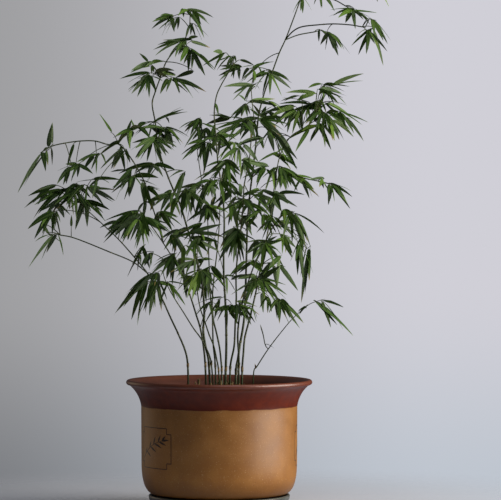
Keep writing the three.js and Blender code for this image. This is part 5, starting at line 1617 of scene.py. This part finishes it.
def bamboo_leaf():
    """Living bamboo leaf: thin, matte green, darker or yellower from leaf to leaf, with fine parallel
    veins, a paler midrib and underside, some dry straw tips, and light that glows through."""
    material, node = start_material("living bamboo leaf")
    tint, dry, back = (node("Attribute", attribute_name=name, out="Fac")
                       for name in ("tint", "dry", "back"))
    along = node("UVMap", uv_map="along")
    green = node("ValToRGB", tint, stops={
        0.0: "#17320d", 0.35: "#264a15", 0.65: "#3f661d", 0.88: "#61882a", 1.0: "#86a63b"})
    # veins 0.9 mm apart, coarser than real ones so that they show, stretched along the blade, and a
    # midrib of 1 mm
    grain = node("Mapping", Vector=along, Scale=(1.0, 0.03, 1.0))
    veins = node("TexNoise", Vector=grain, Scale=every(0.9091), Detail=1.0)
    aside = node("Math", node("SeparateXYZ", along), operation="ABSOLUTE")
    colour = stained(node, green, (veins, 0.4, 0.7, 0.35, "#7f9b4c"), (aside, 0.0005, 0.0001, 0.6, "#93a860"),
                     (back, 0.0, 1.0, 0.5, "#7d9173"), (dry, 0.0, 1.0, 1.0, "#b79a5c"))
    bump = node("Bump", Height=veins, Strength=0.3, Distance=0.0002)
    surface = node("BsdfPrincipled", Base_Color=colour, Roughness=0.48, IOR=1.38, Normal=bump)
    glow = node("BsdfTranslucent", node("Mix", 0.5, colour, "#a9c24a", data_type="RGBA"))
    node("OutputMaterial", node("MixShader", 0.25, surface, glow))
    return material


def dry_sheath():
    """Dry bamboo sheath and fallen leaf: papery straw, streaked along its fibres, paler to its tip."""
    material, node = start_material("dry bamboo sheath")
    place = node("Attribute", attribute_name="place", out="Fac")
    # fibres 0.8 mm wide and 13 mm long
    grain = node("Mapping", Vector=node("UVMap", uv_map="along"), Scale=(1.0, 0.06, 1.0))
    fibres = node("TexNoise", Vector=grain, Scale=every(0.7692), Detail=2.0)
    colour = node("ValToRGB", fibres, stops={0.3: "#5c482c", 0.5: "#8c774f", 0.7: "#b9a67b"})
    colour = stained(node, colour, (place, 0.5, 0.0, 0.6, "#5d4426"))
    return finish_material(material, node, colour, 0.7, fibres, 0.5, 0.0002, Specular_IOR_Level=0.3)


def studio_floor():
    """Pale matte studio floor, which fades into the backdrop within a metre of the pot."""
    material, node = start_material("pale matte board")
    away = node("VectorMath", node("TexCoord", out="Object"), operation="LENGTH")
    shown = node("MapRange", away, 0.8, 0.14, interpolation_type="SMOOTHSTEP")
    board = node("BsdfDiffuse", "#e4e9f2")
    node("OutputMaterial", node("MixShader", shown, node("BsdfTransparent"), board))
    return material


def build_pot():
    outline = pot_outline()
    wall = turned(outline)
    past_lip = np.arange(len(outline)) > np.argmax(outline[:, 1])
    wall["points"] = {"inside": np.repeat(past_lip, ROUND_SIDES)}
    make_piece("glazed_pot", [wall], [glazed_stoneware()], ["pot"], 40)
    strokes = [p for turn in PANEL_TURNS_DEGREES for p in panel_strokes(turn)]
    make_piece("brushed_panels", strokes, [brushed_iron_glaze()])
    saucer = turned_from_axis(saucer_outline())
    make_piece("slate_saucer", [saucer], [slate_glaze()], ["saucer"], 40)


def build_soil(straw):
    make_piece("potting_soil", [lumpy_soil()], [potting_mix()], ["soil"], 60)
    make_piece("bark_chips", [bark_chips()], [pine_bark()], (), 30)
    make_piece("leaf_litter", leaf_litter(), [straw])
    make_piece("dead_stubs", dead_stubs(), [straw])


def build_clump(straw):
    """One piece for each culm: its stem and branches, twigs and leaves, and the dry sheaths at its
    foot. The slots are 0 for stems, 1 for leaves and 2 for straw."""
    materials = [bamboo_stem(), bamboo_leaf(), straw]
    for number, culm in enumerate(grow_clump()):
        parts = []
        for count, (points, start_radius, end_radius) in enumerate(culm["limbs"]):
            sides = LIMB_SIDES if count else CULM_SIDES
            limb, nodes = stem(points, start_radius, end_radius, LIMB_SEEDS * number + count, sides)
            parts.append(limb)
            if count == 0:
                parts += foot_sheaths(culm, start_radius, nodes, number, 2)
        parts += [twig_part(twig) for twig in culm["twigs"]]
        parts.append(leaf_parts(culm["leaves"], 1, number))
        name = culm["name"].replace("culm", "bamboo")
        make_piece(name, parts, materials, [culm["name"]], 60)


def light_studio():
    """A large soft window of light to the right, a weak one above in front, a weak warm one behind on
    the left, and a pale backdrop with painted shade, darker to the left away from the window and low
    down, that the camera sees brighter than it lights."""
    for name, place, aim, width, height, watts, code in LAMPS:
        lamp = bpy.data.lights.new(name, "AREA")
        lamp.shape = "RECTANGLE"
        lamp.size, lamp.size_y = width, height
        lamp.energy = watts
        lamp.color = linear(code)[:3]
        light = link_object(name, lamp)
        light.location = place
        light.rotation_euler = (Vector(aim) - Vector(place)).to_track_quat("-Z", "Y").to_euler()
    world = bpy.data.worlds.new("pale studio")
    bpy.context.scene.world = world
    world.use_nodes = True
    world.node_tree.nodes.clear()
    node = functools.partial(add, world.node_tree)
    way = node("TexCoord")
    # painted shade on the backdrop: darker to the left, away from the window, and darker low down
    right = node("MapRange", node("SeparateXYZ", way), -0.11, 0.07, interpolation_type="SMOOTHSTEP")
    low = node("MapRange", node("SeparateXYZ", way, out="Z"), -0.02, -0.11, interpolation_type="SMOOTHSTEP")
    upper = node("Mix", right, "#9d9d9f", "#d0cfd7", data_type="RGBA")
    lower = node("Mix", right, "#75777b", "#bcc4ce", data_type="RGBA")
    backdrop = node("Background", node("Mix", low, upper, lower, data_type="RGBA"))
    ambient = node("Background", "#c4c8d2", AMBIENT)
    node("OutputWorld", node("MixShader", node("LightPath"), ambient, backdrop))


def build_floor():
    """A flat disc under the saucer, wide enough for its fade."""
    angle = 2 * np.pi * np.arange(FLOOR_SIDES) / FLOOR_SIDES
    ring = np.stack([FLOOR_REACH * np.cos(angle), FLOOR_REACH * np.sin(angle), 0 * angle], axis=-1)
    mesh = bpy.data.meshes.new("studio_floor")
    mesh.from_pydata(ring * METRES, [], [list(range(FLOOR_SIDES))])
    mesh.materials.append(studio_floor())
    floor = link_object("studio_floor", mesh)


def place_camera():
    """The photograph's eye, level but for a slight downward pitch. The field of view takes in the
    picture's width at the pot's axis."""
    camera = bpy.data.cameras.new("photograph")
    camera.sensor_width = SENSOR_WIDTH
    camera.lens = SENSOR_WIDTH * -EYE[1] / (PICTURE_WIDTH * MM_PER_PIXEL)
    camera.clip_end = VIEW_REACH
    eye = link_object("photograph", camera)
    eye.location = EYE * METRES
    eye.rotation_euler = (math.radians(90 + EYE_PITCH_DEGREES), 0, 0)
    bpy.context.scene.camera = eye


straw_finish = dry_sheath()
build_pot()
build_soil(straw_finish)
build_clump(straw_finish)
build_floor()
light_studio()
place_camera()
bpy.context.scene.view_settings.view_transform = "Standard"

bpy.context.view_layer.update()
